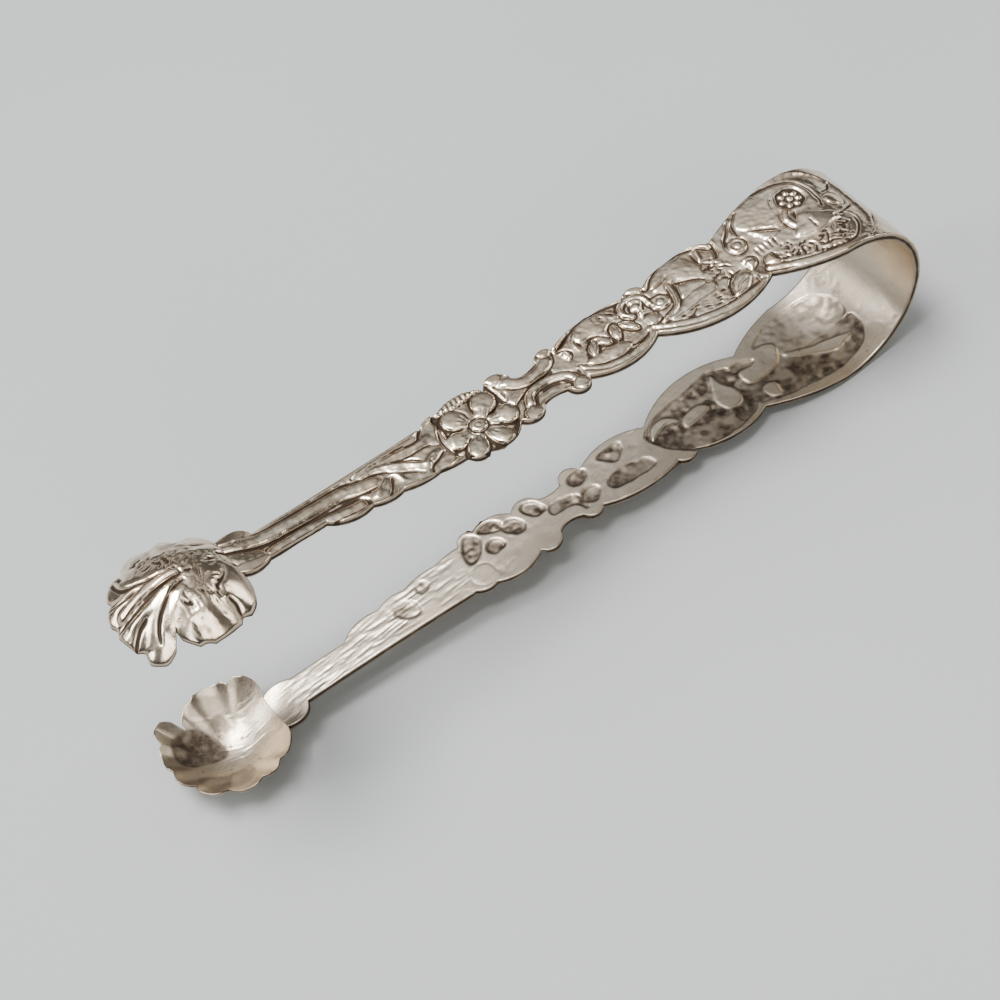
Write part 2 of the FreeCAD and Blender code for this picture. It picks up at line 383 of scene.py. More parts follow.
    def island(self, points):
        """A part of a dent that stayed at the sheet's own level."""
        place, _, _, inside = self.mask(points, MASK_SOFTNESS)
        ragged = np.clip(inside * 3.0 - 1.0 + 0.25 * self.drift[1][place], 0.0, 1.0)
        self.height[place] *= 1.0 - ragged
        self.patina[place] *= 1.0 - ragged

    def hatch(self, points, turn, pitch, depth, dark=0.5):
        """Short parallel cuts, uneven in place and depth, inside an outline."""
        place, along, across, inside = self.mask(points, MASK_SOFTNESS)
        c, s = math.cos(turn), math.sin(turn)
        u = along * c + across * s + 0.5 * self.drift[0][place]
        v = across * c - along * s + 0.25 * self.drift[1][place] + 0.1 * self.drift[2][place]
        row = np.floor(v / pitch)
        offset = 7.0 * scatter(row * 12.9898 + 4.1, 43758.5453)
        length = pitch * (2.6 + 2.0 * scatter(row * 78.233, 9631.77))
        phase = u / length + offset
        along_cut = np.exp(-((np.modf(np.abs(phase))[0] - 0.5) / 0.27) ** 4)
        across_cut = np.exp(-((v / pitch - row - 0.5) / 0.3) ** 2)
        strong = 0.35 + 0.65 * scatter(np.floor(phase) * 3.7 + row * 1.9, 1731.3)
        cut = along_cut * across_cut * strong * inside
        self.height[place] -= depth * cut
        self.dark[place] = np.maximum(self.dark[place], dark * cut)

    def pits(self, points, count, radius, depth, dark=0.8):
        """Small pits and nicks scattered inside an outline."""
        place, along, across, inside = self.mask(points, 0.3)
        rows, columns = inside.shape
        for _ in range(count):
            row = self.random.integers(rows)
            column = self.random.integers(columns)
            size = radius * self.random.uniform(0.5, 1.3)
            stretch = self.random.uniform(1.0, 3.0)
            tilt = self.random.uniform(-0.5, 0.5)
            if inside[row, column] < 0.5:
                continue
            u = along - along[row, column]
            v = across - across[row, column] - tilt * u
            pit = np.exp(-((u / stretch) ** 2 + v ** 2) / size ** 2)
            self.height[place] -= depth * pit
            self.dark[place] = np.maximum(self.dark[place], dark * pit)

    def shade_cloud(self, points, amount):
        """Cloudy painted shade over an area, with no cut under it."""
        place, _, _, inside = self.mask(points, 2.0)
        cloud = np.clip(0.55 + 0.35 * self.drift[0][place] + 0.3 * self.drift[2][place], 0.0, 1.0)
        self.dark[place] = np.maximum(self.dark[place], amount * inside * cloud)

    def wear(self, scale, amount):
        """Gentle unevenness of a hand-finished and much-handled surface."""
        self.height += amount * self.noise(scale)

    def finish(self, softness, top):
        """Round everything off as long use does, and keep it under the sheet's face."""
        self.height = blur(self.height, softness)
        for scale, amount in WEAR:
            self.wear(scale, amount)
        over = np.maximum(self.height - top + TOP_ROUND, 0.0)
        self.height = np.minimum(self.height, top - TOP_ROUND) + TOP_ROUND * np.tanh(over / TOP_ROUND)

    def cavity(self):
        """How sunken each cell is next to its surroundings, from 0 to 1, with the map of what is dark
        added, which holds tarnish and painted shade.
        """
        fine = FINE_CAVITY[1] * (blur(self.height, FINE_CAVITY[0]) - self.height)
        broad = BROAD_CAVITY[1] * (blur(self.height, BROAD_CAVITY[0]) - self.height)
        return np.clip(fine + broad + 0.9 * blur(self.dark, CELL), 0.0, 1.0)

    def sample(self, field, along, across):
        """A map's value at any places, between its cells."""
        u = np.clip((along - self.low[0]) / CELL, 0.0, field.shape[0] - 1.001)
        v = np.clip((across - self.low[1]) / CELL, 0.0, field.shape[1] - 1.001)
        i, j = u.astype(int), v.astype(int)
        f, g = u - i, v - j
        return ((field[i, j] * (1 - f) + field[i + 1, j] * f) * (1 - g)
                + (field[i, j + 1] * (1 - f) + field[i + 1, j + 1] * f) * g)


# ---------------------------------------------------------------- ornament of an arm

def large_cartouche(r):
    """Shield with scrolled corners that runs onto the bow, leaves and a scaled border below it."""
    shield = ((1.2, 6.5), (-1.0, 6.0), (-2.6, 5.3), (-3.2, 4.0), (-3.2, 2.2), (-2.6, 0.7), (0.6, 1.6),
              (2.4, 0.8), (5.4, 2.2), (6.9, 4.2), (6.0, 6.0), (3.6, 6.5))
    r.field(((-7.6, 0.5), (-7.0, 4.5), (-3.5, 6.6), (2.0, 7.4), (8.5, 6.2), (10.3, 3.5), (9.6, -2.5),
             (6.5, -4.6), (1.0, -6.4), (-3.0, -6.4), (-6.0, -4.4)), 0.2, 0.9)
    r.pillow(shield, 0.44)
    r.stroke(((2.6, 6.9), (1.2, 6.7), (-1.0, 6.2), (-2.7, 5.5), (-3.5, 4.2), (-3.5, 2.6), (-3.3, 1.4),
              (-2.7, 0.2)), 0.22, -0.26, 0.1)
    r.stroke(((1.0, 6.1), (-0.8, 5.6), (-2.0, 5.0), (-2.6, 4.0), (-2.7, 2.6), (-2.2, 1.2)), 0.28, 0.16)
    rosette = ((-2.2, 2.6), (-1.8, 4.6), (0.2, 4.9), (1.2, 3.6), (0.6, 2.2), (-1.0, 1.6))
    r.field(rosette, 0.2, 0.5, 0.4)
    for index in range(7):
        turn = 2.0 * math.pi * index / 7
        r.pad((-0.5 + 0.95 * math.cos(turn), 3.3 + 0.95 * math.sin(turn)), (0.52, 0.4), 0.42, turn, 0.1)
    r.pad((-0.5, 3.3), (0.45, 0.45), 0.48)
    r.stroke(((0.6, 5.3), (1.5, 4.4), (2.1, 3.2)), 0.12, -0.14)
    r.stroke(((0.8, 2.4), (1.6, 1.4), (1.8, 0.2), (1.2, -1.2)), 0.4, 0.2, 0.5)
    r.stroke(((1.5, 2.6), (2.3, 1.4), (2.4, 0.2), (1.9, -1.2)), 0.14, -0.2)
    r.stroke(((0.2, 1.6), (0.8, 0.9), (0.9, 0.0)), 0.12, -0.14)
    r.pillow(((3.6, 0.2), (4.6, 1.2), (6.2, 2.7), (5.8, 1.2), (5.2, 0.1)), 0.48)
    r.stroke(((3.4, 0.7), (4.6, 1.7), (6.1, 2.8)), 0.14, -0.22)
    r.stroke(((5.4, 6.1), (6.7, 5.0), (7.2, 4.0), (7.3, 2.8)), 0.16, -0.26, 0.2)
    r.stroke(((7.0, 5.7), (7.9, 4.5), (8.9, 3.6), (9.4, 2.7)), 0.2, -0.3, 0.2)
    r.stroke(((6.4, 5.9), (7.6, 4.7), (8.0, 3.4)), 0.26, 0.14)
    r.pad((8.5, 1.9), (1.15, 1.25), 0.46, 0.3)
    r.ring((8.4, 1.9), 0.55, 0.14, -0.13)
    r.pad((9.4, -1.1), (1.3, 0.95), 0.46, -0.3)
    r.stroke(((8.6, -0.9), (9.3, -0.7), (10.1, -1.1)), 0.14, -0.14)
    r.pad((6.8, -2.5), (1.0, 1.1), 0.44)
    for index in range(5):
        station = 4.5 + 0.62 * index
        r.stroke(((station + 0.31, 0.3), (station + 0.41, -1.1)), 0.12, -0.16)
    thicket = ((3.9, -1.4), (6.4, -1.5), (6.0, -3.4), (4.0, -3.2))
    r.field(thicket, 0.14, 0.4, 0.3)
    r.hatch(thicket, 1.1, 0.45, 0.2, 0.9)
    r.hatch(thicket, 0.1, 0.5, 0.16, 0.9)
    r.pillow(((0.3, 0.8), (1.4, -0.2), (2.6, -1.7), (0.0, -2.6), (-3.6, -1.9), (-1.8, -0.5)), 0.48)
    r.stroke(((0.0, -0.6), (0.0, -1.4), (0.1, -2.4)), 0.13, -0.2)
    border = ((-3.4, -2.6), (0.0, -2.9), (3.9, -2.4), (4.6, -3.6), (2.4, -5.2), (-0.8, -6.1), (-3.2, -4.9))
    r.field(border, 0.2, 0.5, 0.25)
    r.hatch(border, 0.35, 0.55, 0.3, 1.0)
    r.hatch(border, -0.75, 0.65, 0.25, 0.9)
    r.stroke(((-4.0, -1.4), (-4.9, -2.4), (-4.7, -3.7), (-3.6, -5.0), (-2.5, -5.8), (-1.0, -6.1)),
             0.2, -0.28, 0.15)
    r.bead(((7.9, -3.2), (6.2, -4.3), (4.5, -5.2), (1.7, -6.3), (-1.0, -6.85), (-3.4, -6.7)), 0.55, 0.5)
    r.stroke(((-8.6, -2.2), (-7.1, -3.7), (-6.0, -5.0), (-4.7, -6.1), (-3.2, -6.9)), 0.2, -0.24, 0.3)
    r.pad((-5.1, 0.9), (1.35, 1.2), 0.46)
    r.stroke(((-7.0, -0.3), (-5.3, -1.1), (-3.6, -1.7), (-2.3, -1.9)), 0.18, -0.26, 0.3)
    r.stroke(((-7.6, 4.4), (-6.4, 3.2), (-4.6, 2.6)), 0.2, -0.22, 0.3)
    r.pits(((-4.0, 6.0), (6.0, 6.4), (9.0, 0.0), (0.0, -6.0)), 60, 0.07, 0.07)


def middle_cartouche(r):
    """Plain shield over leaves, with scrolls at both ends."""
    r.field(((10.4, 4.4), (12.6, 6.0), (17.0, 5.9), (20.4, 3.9), (22.9, 0.6), (22.0, -1.5), (18.0, -3.7),
             (12.0, -4.4), (9.6, -3.0)), 0.16, 0.5)
    r.pillow(((13.4, 1.2), (13.4, 3.2), (14.6, 5.0), (17.0, 5.3), (19.0, 4.3), (19.6, 2.8), (17.9, 2.2),
             (16.9, 2.6), (15.6, 1.6)), 0.44)
    r.stroke(((10.3, 5.0), (10.6, 3.4), (11.2, 2.2), (12.2, 1.5)), 0.2, -0.26, 0.2)
    r.bead(((10.9, 4.2), (12.0, 5.2), (14.2, 5.95), (16.6, 5.9), (18.8, 5.1), (20.2, 4.0)), 0.42, 0.46)
    r.stroke(((12.3, 5.0), (12.6, 4.0), (12.9, 2.9)), 0.3, 0.22)
    r.stroke(((13.1, 4.7), (13.2, 3.6), (13.4, 2.6)), 0.14, -0.22)
    crossing = ((10.8, 1.2), (12.2, 3.0), (13.6, 1.8), (13.4, -0.6), (11.2, -1.1))
    r.field(crossing, 0.22, 0.4, 0.2)
    r.hatch(crossing, 0.9, 0.5, 0.2, 0.9)
    r.hatch(crossing, -0.6, 0.6, 0.16, 0.7)
    r.stroke(((17.2, 3.9), (18.4, 3.3), (19.9, 3.2)), 0.14, -0.2)
    r.pillow(((14.3, 0.1), (15.7, 1.3), (17.1, 1.9), (17.9, 0.9), (17.9, -0.1), (16.0, 0.1)), 0.48)
    r.stroke(((14.1, 0.5), (15.6, 1.6), (17.2, 2.2)), 0.14, -0.24)
    r.stroke(((17.3, 2.0), (17.7, 1.0), (18.1, 0.0)), 0.14, -0.26)
    r.pillow(((13.8, -0.2), (15.4, 0.0), (17.6, -0.2), (19.2, -1.0), (21.2, -1.6), (19.0, -1.9),
              (16.4, -1.7), (14.2, -1.5)), 0.46)
    dashes = ((12.8, -1.9), (16.0, -2.0), (20.0, -2.1), (19.4, -3.2), (16.4, -4.0), (13.2, -3.9))
    r.field(dashes, 0.18, 0.4, 0.15)
    r.hatch(dashes, -0.08, 0.5, 0.2, 0.9)
    r.pillow(((9.9, -2.0), (11.3, -1.4), (12.6, -2.4), (13.2, -3.9), (11.2, -3.6)), 0.48)
    r.stroke(((10.3, -1.0), (11.8, -1.2), (12.9, -2.2), (13.5, -3.6)), 0.14, -0.24)
    r.stroke(((10.6, -2.5), (11.8, -2.8), (12.7, -3.6)), 0.12, -0.16)
    r.pad((20.1, 1.2), (1.2, 1.05), 0.48)
    r.ring((20.1, 1.2), 0.55, 0.13, -0.12)
    r.bead(((17.9, 2.4), (18.3, 0.9), (18.9, -0.4), (20.0, -1.0), (21.6, -1.4)), 0.36, 0.46)
    r.bead(((9.6, -4.35), (12.0, -4.6), (15.0, -4.6), (18.0, -3.95), (20.4, -2.95), (22.0, -1.95),
            (22.9, -1.2)), 0.45, 0.5)
    r.pad((22.3, -0.2), (1.0, 0.95), 0.48)
    r.pad((21.2, 4.7), (1.2, 0.95), 0.44, 0.2)
    r.pits(((11.0, 4.0), (19.0, 5.0), (22.0, 0.0), (13.0, -4.0)), 50, 0.06, 0.07)
    r.pits(((22.0, -0.4), (22.3, -0.1), (22.0, 0.0)), 3, 0.08, 0.1)


def small_cartouche(r):
    """Plain shield with two leaves below it and a bud where it meets the scrolls."""
    r.field(((23.2, 3.6), (25.0, 4.6), (28.5, 4.9), (31.5, 4.2), (33.6, 2.8), (33.4, 0.2), (31.0, -2.0),
             (27.0, -2.7), (24.0, -1.8), (23.0, 0.8)), 0.14, 0.45)
    r.pillow(((24.8, 2.6), (25.6, 4.2), (28.6, 4.5), (30.6, 3.8), (30.6, 2.4), (29.2, 2.2), (27.6, 1.8),
             (25.8, 2.3)), 0.44)
    r.bead(((21.1, 1.7), (21.3, 3.1), (22.2, 3.8), (23.2, 3.9), (24.2, 3.3), (24.4, 2.2), (23.8, 1.5)),
           0.4, 0.48)
    r.pad((22.7, 2.3), (0.65, 0.6), 0.44)
    r.bead(((23.4, 4.4), (25.2, 4.9), (27.2, 5.1), (29.4, 4.9), (31.2, 4.3), (33.2, 3.4)), 0.34, 0.44)
    r.stroke(((23.0, 0.2), (23.4, -1.3), (25.2, -1.9), (26.4, -1.8)), 0.15, -0.24)
    for station, across, turn in ((24.9, 0.7, 0.9), (26.6, 0.9, 1.9), (28.6, 0.8, 0.8), (30.0, 0.4, 2.2)):
        r.pad((station, across), (1.25, 0.6), 0.46, turn, 0.2)
        tip = (station + 0.9 * math.cos(turn), across + 0.9 * math.sin(turn))
        middle = ((station + tip[0]) / 2, (across + tip[1]) / 2 + 0.05)
        r.stroke(((station, across), middle, tip), 0.1, -0.12)
    for outline in (((24.8, 2.8), (27.6, 3.0), (27.2, 4.2), (25.2, 4.0)),
                    ((26.6, -0.6), (29.6, -0.4), (29.2, -1.9), (26.8, -1.8))):
        r.hatch(outline, 0.5, 0.5, 0.14, 0.9)
        r.hatch(outline, -0.9, 0.6, 0.12, 0.8)
    r.field(((30.6, 2.0), (31.3, 2.0), (31.4, -0.4), (30.8, -0.9)), 0.12, 0.4, 0.5)
    r.pillow(((26.6, -0.7), (28.8, -0.5), (31.6, -0.6), (31.2, -1.6), (28.2, -2.2), (26.4, -1.7)), 0.44)
    r.stroke(((30.4, 3.6), (31.2, 2.6), (31.2, 1.1)), 0.24, 0.2)
    r.stroke(((30.8, 4.1), (31.9, 3.5), (33.0, 3.0)), 0.16, -0.28)
    r.pad((33.2, 1.7), (0.95, 0.85), 0.48)
    r.ring((33.2, 1.7), 0.42, 0.12, -0.12)
    r.bead(((23.4, -2.0), (25.0, -2.6), (28.0, -2.95), (30.4, -2.5), (32.0, -1.5), (32.8, -0.7)), 0.4, 0.48)
    r.pits(((24.0, 4.0), (31.0, 4.0), (32.0, -1.0), (25.0, -2.0)), 45, 0.06, 0.07)


def crossed_scrolls(r):
    """Two C-scrolls back to back, with a knob at each end."""
    r.field(((33.6, 3.0), (37.4, 2.4), (41.8, 3.2), (42.4, -2.6), (37.4, -2.0), (33.2, -2.4)), 0.14, 0.5)
    r.bead(((34.6, 3.6), (35.3, 2.3), (37.3, 1.6), (39.4, 1.9), (41.0, 3.4)), 0.85, 0.48)
    r.pad((34.6, 3.7), (0.95, 0.9), 0.5)
    r.pad((41.1, 3.9), (1.05, 1.0), 0.5)
    r.bead(((33.8, -2.4), (34.4, -0.9), (35.7, -0.1), (37.5, 0.1), (39.2, -0.35), (40.0, -1.5),
            (40.5, -2.9)), 0.6, 0.5)
    r.pad((33.9, -2.7), (1.0, 1.0), 0.5)
    r.pad((40.5, -2.9), (1.05, 1.05), 0.5)
    r.stroke(((35.2, 0.9), (37.6, 0.75), (39.4, 0.2), (41.1, -0.6), (41.8, -1.6), (42.4, -2.9)), 0.16,
             -0.26, 0.15)
    r.stroke(((34.7, -1.9), (35.9, -1.1), (37.4, -0.9), (38.8, -1.3), (39.4, -2.1)), 0.2, -0.14)
    r.stroke(((41.2, 1.9), (41.6, 0.9), (42.2, 0.1)), 0.2, -0.2)


def flower(r):
    """Six-petalled flower over a ribbed leaf."""
    r.pillow(((42.6, 4.2), (46.0, 5.0), (49.4, 3.6), (50.6, 1.4), (50.8, -2.4), (47.6, -4.6), (43.6, -4.0),
             (41.8, -1.4), (42.0, 1.6)), 0.1, 0.48)
    r.pillow(((42.9, 3.6), (45.2, 4.7), (47.4, 4.7), (49.4, 3.6), (48.4, 3.0), (45.6, 3.3)), 0.42)
    for index in range(9):
        station = 43.7 + 0.62 * index
        r.stroke(((station, 3.0), (station - 0.25, 3.9), (station - 0.3, 4.6)), 0.1, -0.16)
    petals = (
        (43.9, 1.9, 1.5, 1.4), (42.8, -0.9, 1.15, 1.35), (45.0, -3.1, 1.5, 1.2), (48.0, -3.1, 1.35, 1.2),
        (49.2, -1.0, 1.15, 1.15), (48.0, 1.6, 1.3, 1.35),
    )
    heart = (46.2, -0.6)
    for station, across, length, width in petals:
        turn = math.atan2(across - heart[1], station - heart[0])
        r.pad((station, across), (length + 0.15, width), 0.46, turn, 0.22)
        middle = (heart[0] + 0.62 * (station - heart[0]), heart[1] + 0.62 * (across - heart[1]))
        r.pad(middle, (1.0, 0.8), 0.34, turn, 0.0)
        inner = (heart[0] + 1.15 * math.cos(turn), heart[1] + 1.15 * math.sin(turn))
        for side in (-0.28, 0.0, 0.28):
            end = (heart[0] + 2.5 * math.cos(turn + side), heart[1] + 2.5 * math.sin(turn + side))
            start = (inner[0] - 0.3 * side * math.sin(turn), inner[1] + 0.3 * side * math.cos(turn))
            r.stroke((start, ((start[0] + end[0]) / 2, (start[1] + end[1]) / 2), end), 0.1, -0.12)
    r.pad(heart, (1.0, 0.95), 0.5, 0.0, 0.26)
    r.ring(heart, 0.35, 0.13, -0.08)


def leaves(r):
    """Pointed leaves that overlap from the flower to the stem."""
    r.field(((50.0, 3.0), (53.2, 2.2), (57.0, 1.9), (61.5, 0.9), (61.5, -3.0), (57.0, -3.2), (51.0, -3.2)),
            0.22, 0.5)
    r.stroke(((49.8, 2.2), (50.7, 0.0), (50.6, -2.0), (50.1, -3.3)), 0.16, -0.28, 0.2)
    r.stroke(((51.4, 3.1), (52.1, 2.2), (52.8, 1.6), (54.4, 1.5)), 0.16, -0.26, 0.2)
    r.stroke(((51.2, 1.6), (53.0, 1.0), (55.6, 1.25), (58.0, 1.2)), 0.36, 0.2, 0.5)
    r.stroke(((50.9, -0.4), (52.3, 0.3), (54.6, 0.3), (56.8, 0.7)), 0.14, -0.22)
    r.stroke(((51.0, -1.2), (52.2, -1.9), (53.3, -2.4), (53.8, -3.2)), 0.16, -0.28, 0.3)
    r.stroke(((51.4, -0.9), (52.8, -1.2), (53.9, -2.0)), 0.34, 0.2)
    r.stroke(((53.2, -2.2), (54.6, -1.3), (55.6, -0.5), (57.3, 0.4), (59.2, 0.95)), 0.36, 0.24, 0.5)
    r.stroke(((53.9, -1.0), (55.0, -0.1), (56.6, 0.5)), 0.14, -0.24)
    r.stroke(((54.4, -2.6), (55.8, -1.6), (57.0, -0.9), (58.6, 0.2), (60.4, 0.4)), 0.15, -0.28, 0.3)
    r.stroke(((57.8, -0.3), (57.1, -1.3), (56.9, -2.5)), 0.28, 0.18)
    r.stroke(((57.6, -1.0), (58.3, -2.2), (59.3, -3.4)), 0.16, -0.28, 0.3)
    r.stroke(((58.2, -1.0), (59.4, -1.6), (60.6, -2.6)), 0.36, 0.2)
    r.stroke(((59.2, -0.6), (60.6, -1.4), (61.4, -2.4), (61.6, -3.2)), 0.15, -0.26, 0.3)
    r.pits(((53.6, 1.1), (56.4, 1.4), (56.2, 2.0), (53.8, 1.9)), 14, 0.1, 0.1)


def ridged_stem(r):
    """Two round ridges side by side that run to the neck, with a rounded pad on each shoulder."""
    r.field(((60.6, 0.6), (66.0, 0.8), (74.0, 0.2), (77.9, 0.6), (77.9, -2.6), (73.0, -3.0), (66.0, -3.0),
             (61.6, -2.8)), 0.12, 0.5)
    r.bead(((59.6, -0.6), (61.4, -0.35), (63.3, 0.05), (66.0, -0.1), (68.8, -0.35), (72.3, -0.5),
            (75.4, -0.1), (78.2, 0.6)), 0.85, 0.5)
    r.bead(((62.4, -2.45), (65.0, -2.35), (68.8, -2.25), (71.2, -2.5), (73.0, -2.7)), 0.78, 0.46)
    r.stroke(((61.0, -2.9), (61.9, -1.6), (62.9, -1.25), (65.1, -1.4), (68.8, -1.35), (72.5, -1.5),
              (74.6, -1.2), (76.4, -0.8), (78.2, -0.2)), 0.26, -0.2, 0.1)
    r.stroke(((74.4, 0.8), (75.6, 1.2), (77.4, 1.0)), 0.7, 0.26, 0.4)
    r.stroke(((73.6, -2.3), (75.0, -2.7), (77.2, -2.6)), 0.8, 0.3, 0.4)
    r.stroke(((75.6, 0.6), (76.6, 0.5), (77.9, 1.1)), 0.2, -0.2)
    r.pits(((74.6, 0.0), (77.0, 0.4), (77.6, -1.2), (75.4, -1.6)), 16, 0.1, 0.1)


def arm_relief(seed):
    """The whole ornament of one arm's outer face."""
    r = Relief(ARM_MAP, ARM_FACE, seed)
    for motif in (large_cartouche, middle_cartouche, small_cartouche, crossed_scrolls, flower, leaves,
                  ridged_stem):
        motif(r)
    r.finish(0.07, SHEET / 2.0)
    return r


def inner_relief(seed):
    """The inner face of an arm: dents behind the ornament, and long file marks behind the stem."""
    r = Relief(ARM_MAP, 0.0, seed)
    dents = (
        (((-6.2, 1.0), (-5.4, 4.6), (-1.0, 5.6), (4.0, 5.4), (8.6, 4.6), (10.6, 3.4), (10.4, -2.0),
          (8.0, -2.6), (5.0, -1.0), (1.0, 0.2)), 0.18, 0.85),
        (((-6.2, 0.6), (0.0, 0.6), (4.0, -0.6), (5.6, -3.2), (2.0, -5.4), (-3.0, -5.6), (-6.0, -3.6)), 0.12,
         0.42),
        (((10.6, 3.6), (14.0, 5.0), (19.0, 5.0), (22.4, 3.0), (24.0, -0.6), (22.0, -2.4), (17.0, -3.2),
          (12.4, -3.9), (9.8, -2.6), (10.2, 0.6)), 0.22, 1.0),
        (((25.4, 2.8), (28.0, 3.1), (31.0, 2.6), (31.3, 1.2), (28.6, 0.6), (26.0, 1.3)), 0.20, 1.0),
        (((26.8, -2.5), (27.8, -0.9), (28.8, -0.6), (30.2, -2.3), (28.6, -2.8)), 0.18, 0.95),
        (((32.5, 1.2), (33.4, 2.3), (34.7, 1.9), (34.5, 0.5), (33.1, 0.3)), 0.20, 1.0),
        (((35.2, 2.6), (35.9, 1.2), (37.6, 0.9), (38.9, 0.7), (38.6, -0.6), (36.6, -0.4), (35.0, 0.4)),
         0.18, 0.85),
        (((33.0, -0.8), (34.4, -0.9), (34.8, -2.0), (33.4, -2.6), (32.2, -2.0)), 0.18, 0.9),
        (((38.9, -0.7), (40.4, -0.6), (41.2, -2.2), (40.6, -3.0), (39.2, -2.2)), 0.20, 1.0),
        (((42.2, -0.2), (43.6, -0.2), (44.4, -2.0), (43.0, -2.4), (42.1, -1.4)), 0.20, 1.0),
        (((44.4, -2.0), (45.9, -2.6), (46.8, -3.6), (45.2, -3.9), (44.0, -3.0)), 0.20, 1.0),
        (((45.4, 0.1), (46.9, 0.3), (47.4, -0.9), (46.4, -1.6), (45.4, -1.0)), 0.18, 0.9),
        (((47.3, -2.0), (48.6, -0.6), (49.9, -0.5), (49.8, -2.2), (48.4, -3.9), (47.3, -3.4)), 0.20, 1.0),
        (((55.1, -1.4), (56.4, -1.2), (56.4, -2.4), (55.3, -2.7)), 0.12, 0.8),
        (((57.9, 0.6), (59.4, 0.2), (60.2, -1.4), (58.4, -1.9), (57.6, -1.0)), 0.12, 0.7),
    )
    for outline, depth, dark in dents:
        r.hollow(outline, depth, dark)
    islands = (
        ((3.4, -2.6), (4.0, -0.4), (6.2, 0.8), (9.2, 0.8), (9.4, -1.4), (7.2, -1.6), (5.6, -3.2)),
        ((7.1, 2.4), (7.4, 4.2), (8.6, 4.0), (9.0, 2.6), (8.0, 1.9)),
        ((-4.8, 2.9), (-2.2, 3.4), (0.2, 2.2), (2.6, 0.8), (3.4, -0.4), (0.4, 0.6), (-1.6, 1.2)),
        ((11.2, 0.2), (11.8, 2.2), (13.8, 2.1), (14.3, 0.2), (13.4, -1.8), (12.3, -3.3), (12.0, -1.4)),
        ((15.4, 0.3), (17.2, 0.9), (19.4, 1.0), (18.6, -0.5), (16.2, -0.8)),
        ((19.4, -0.5), (20.6, -1.9), (22.8, -1.6), (23.6, 0.0), (22.4, -0.5), (21.0, -0.9)),
    )
    for outline in islands:
        r.island(outline)
    r.stroke(((48.9, 0.4), (48.6, 2.2), (48.3, 3.8)), 0.3, -0.06)
    r.ring((49.6, 1.6), 1.5, 0.08, 0.05)
    for index in range(9):
        station = 45.6 + 0.3 * index
        r.stroke(((station, 2.2), (station + 0.8, 2.5 + 0.15 * index)), 0.07, 0.05)
    for _ in range(150):
        station = 50.0 + 26.0 * r.random.random() ** 0.8
        across = r.random.uniform(-3.0, 1.6)
        length = r.random.uniform(1.0, 4.5)
        lean = r.random.uniform(-0.1, 0.1)
        depth = r.random.uniform(0.03, 0.08)
        middle = (station + length / 2, across + lean)
        end = (station + length, across + 2 * lean)
        r.stroke(((station, across), middle, end), r.random.uniform(0.05, 0.11), depth)
    r.dark = np.maximum(r.dark, np.clip(3.0 * (r.height - blur(r.height, 0.3)), 0.0, 0.6))
    mottle = np.clip(0.6 + 0.45 * r.drift[1] + 0.3 * r.drift[2], 0.0, 1.0)
    r.patina = blur(r.patina * (0.35 + 0.65 * mottle), 0.06)
    r.height += r.patina * 0.05 * r.noise(0.18)
    r.height = blur(r.height, 0.08)
    r.wear(0.8, 0.02)
    r.wear(0.2, 0.006)
    r.height = np.maximum(r.height, 0.0)
    return r


# ---------------------------------------------------------------- ornament of a bowl

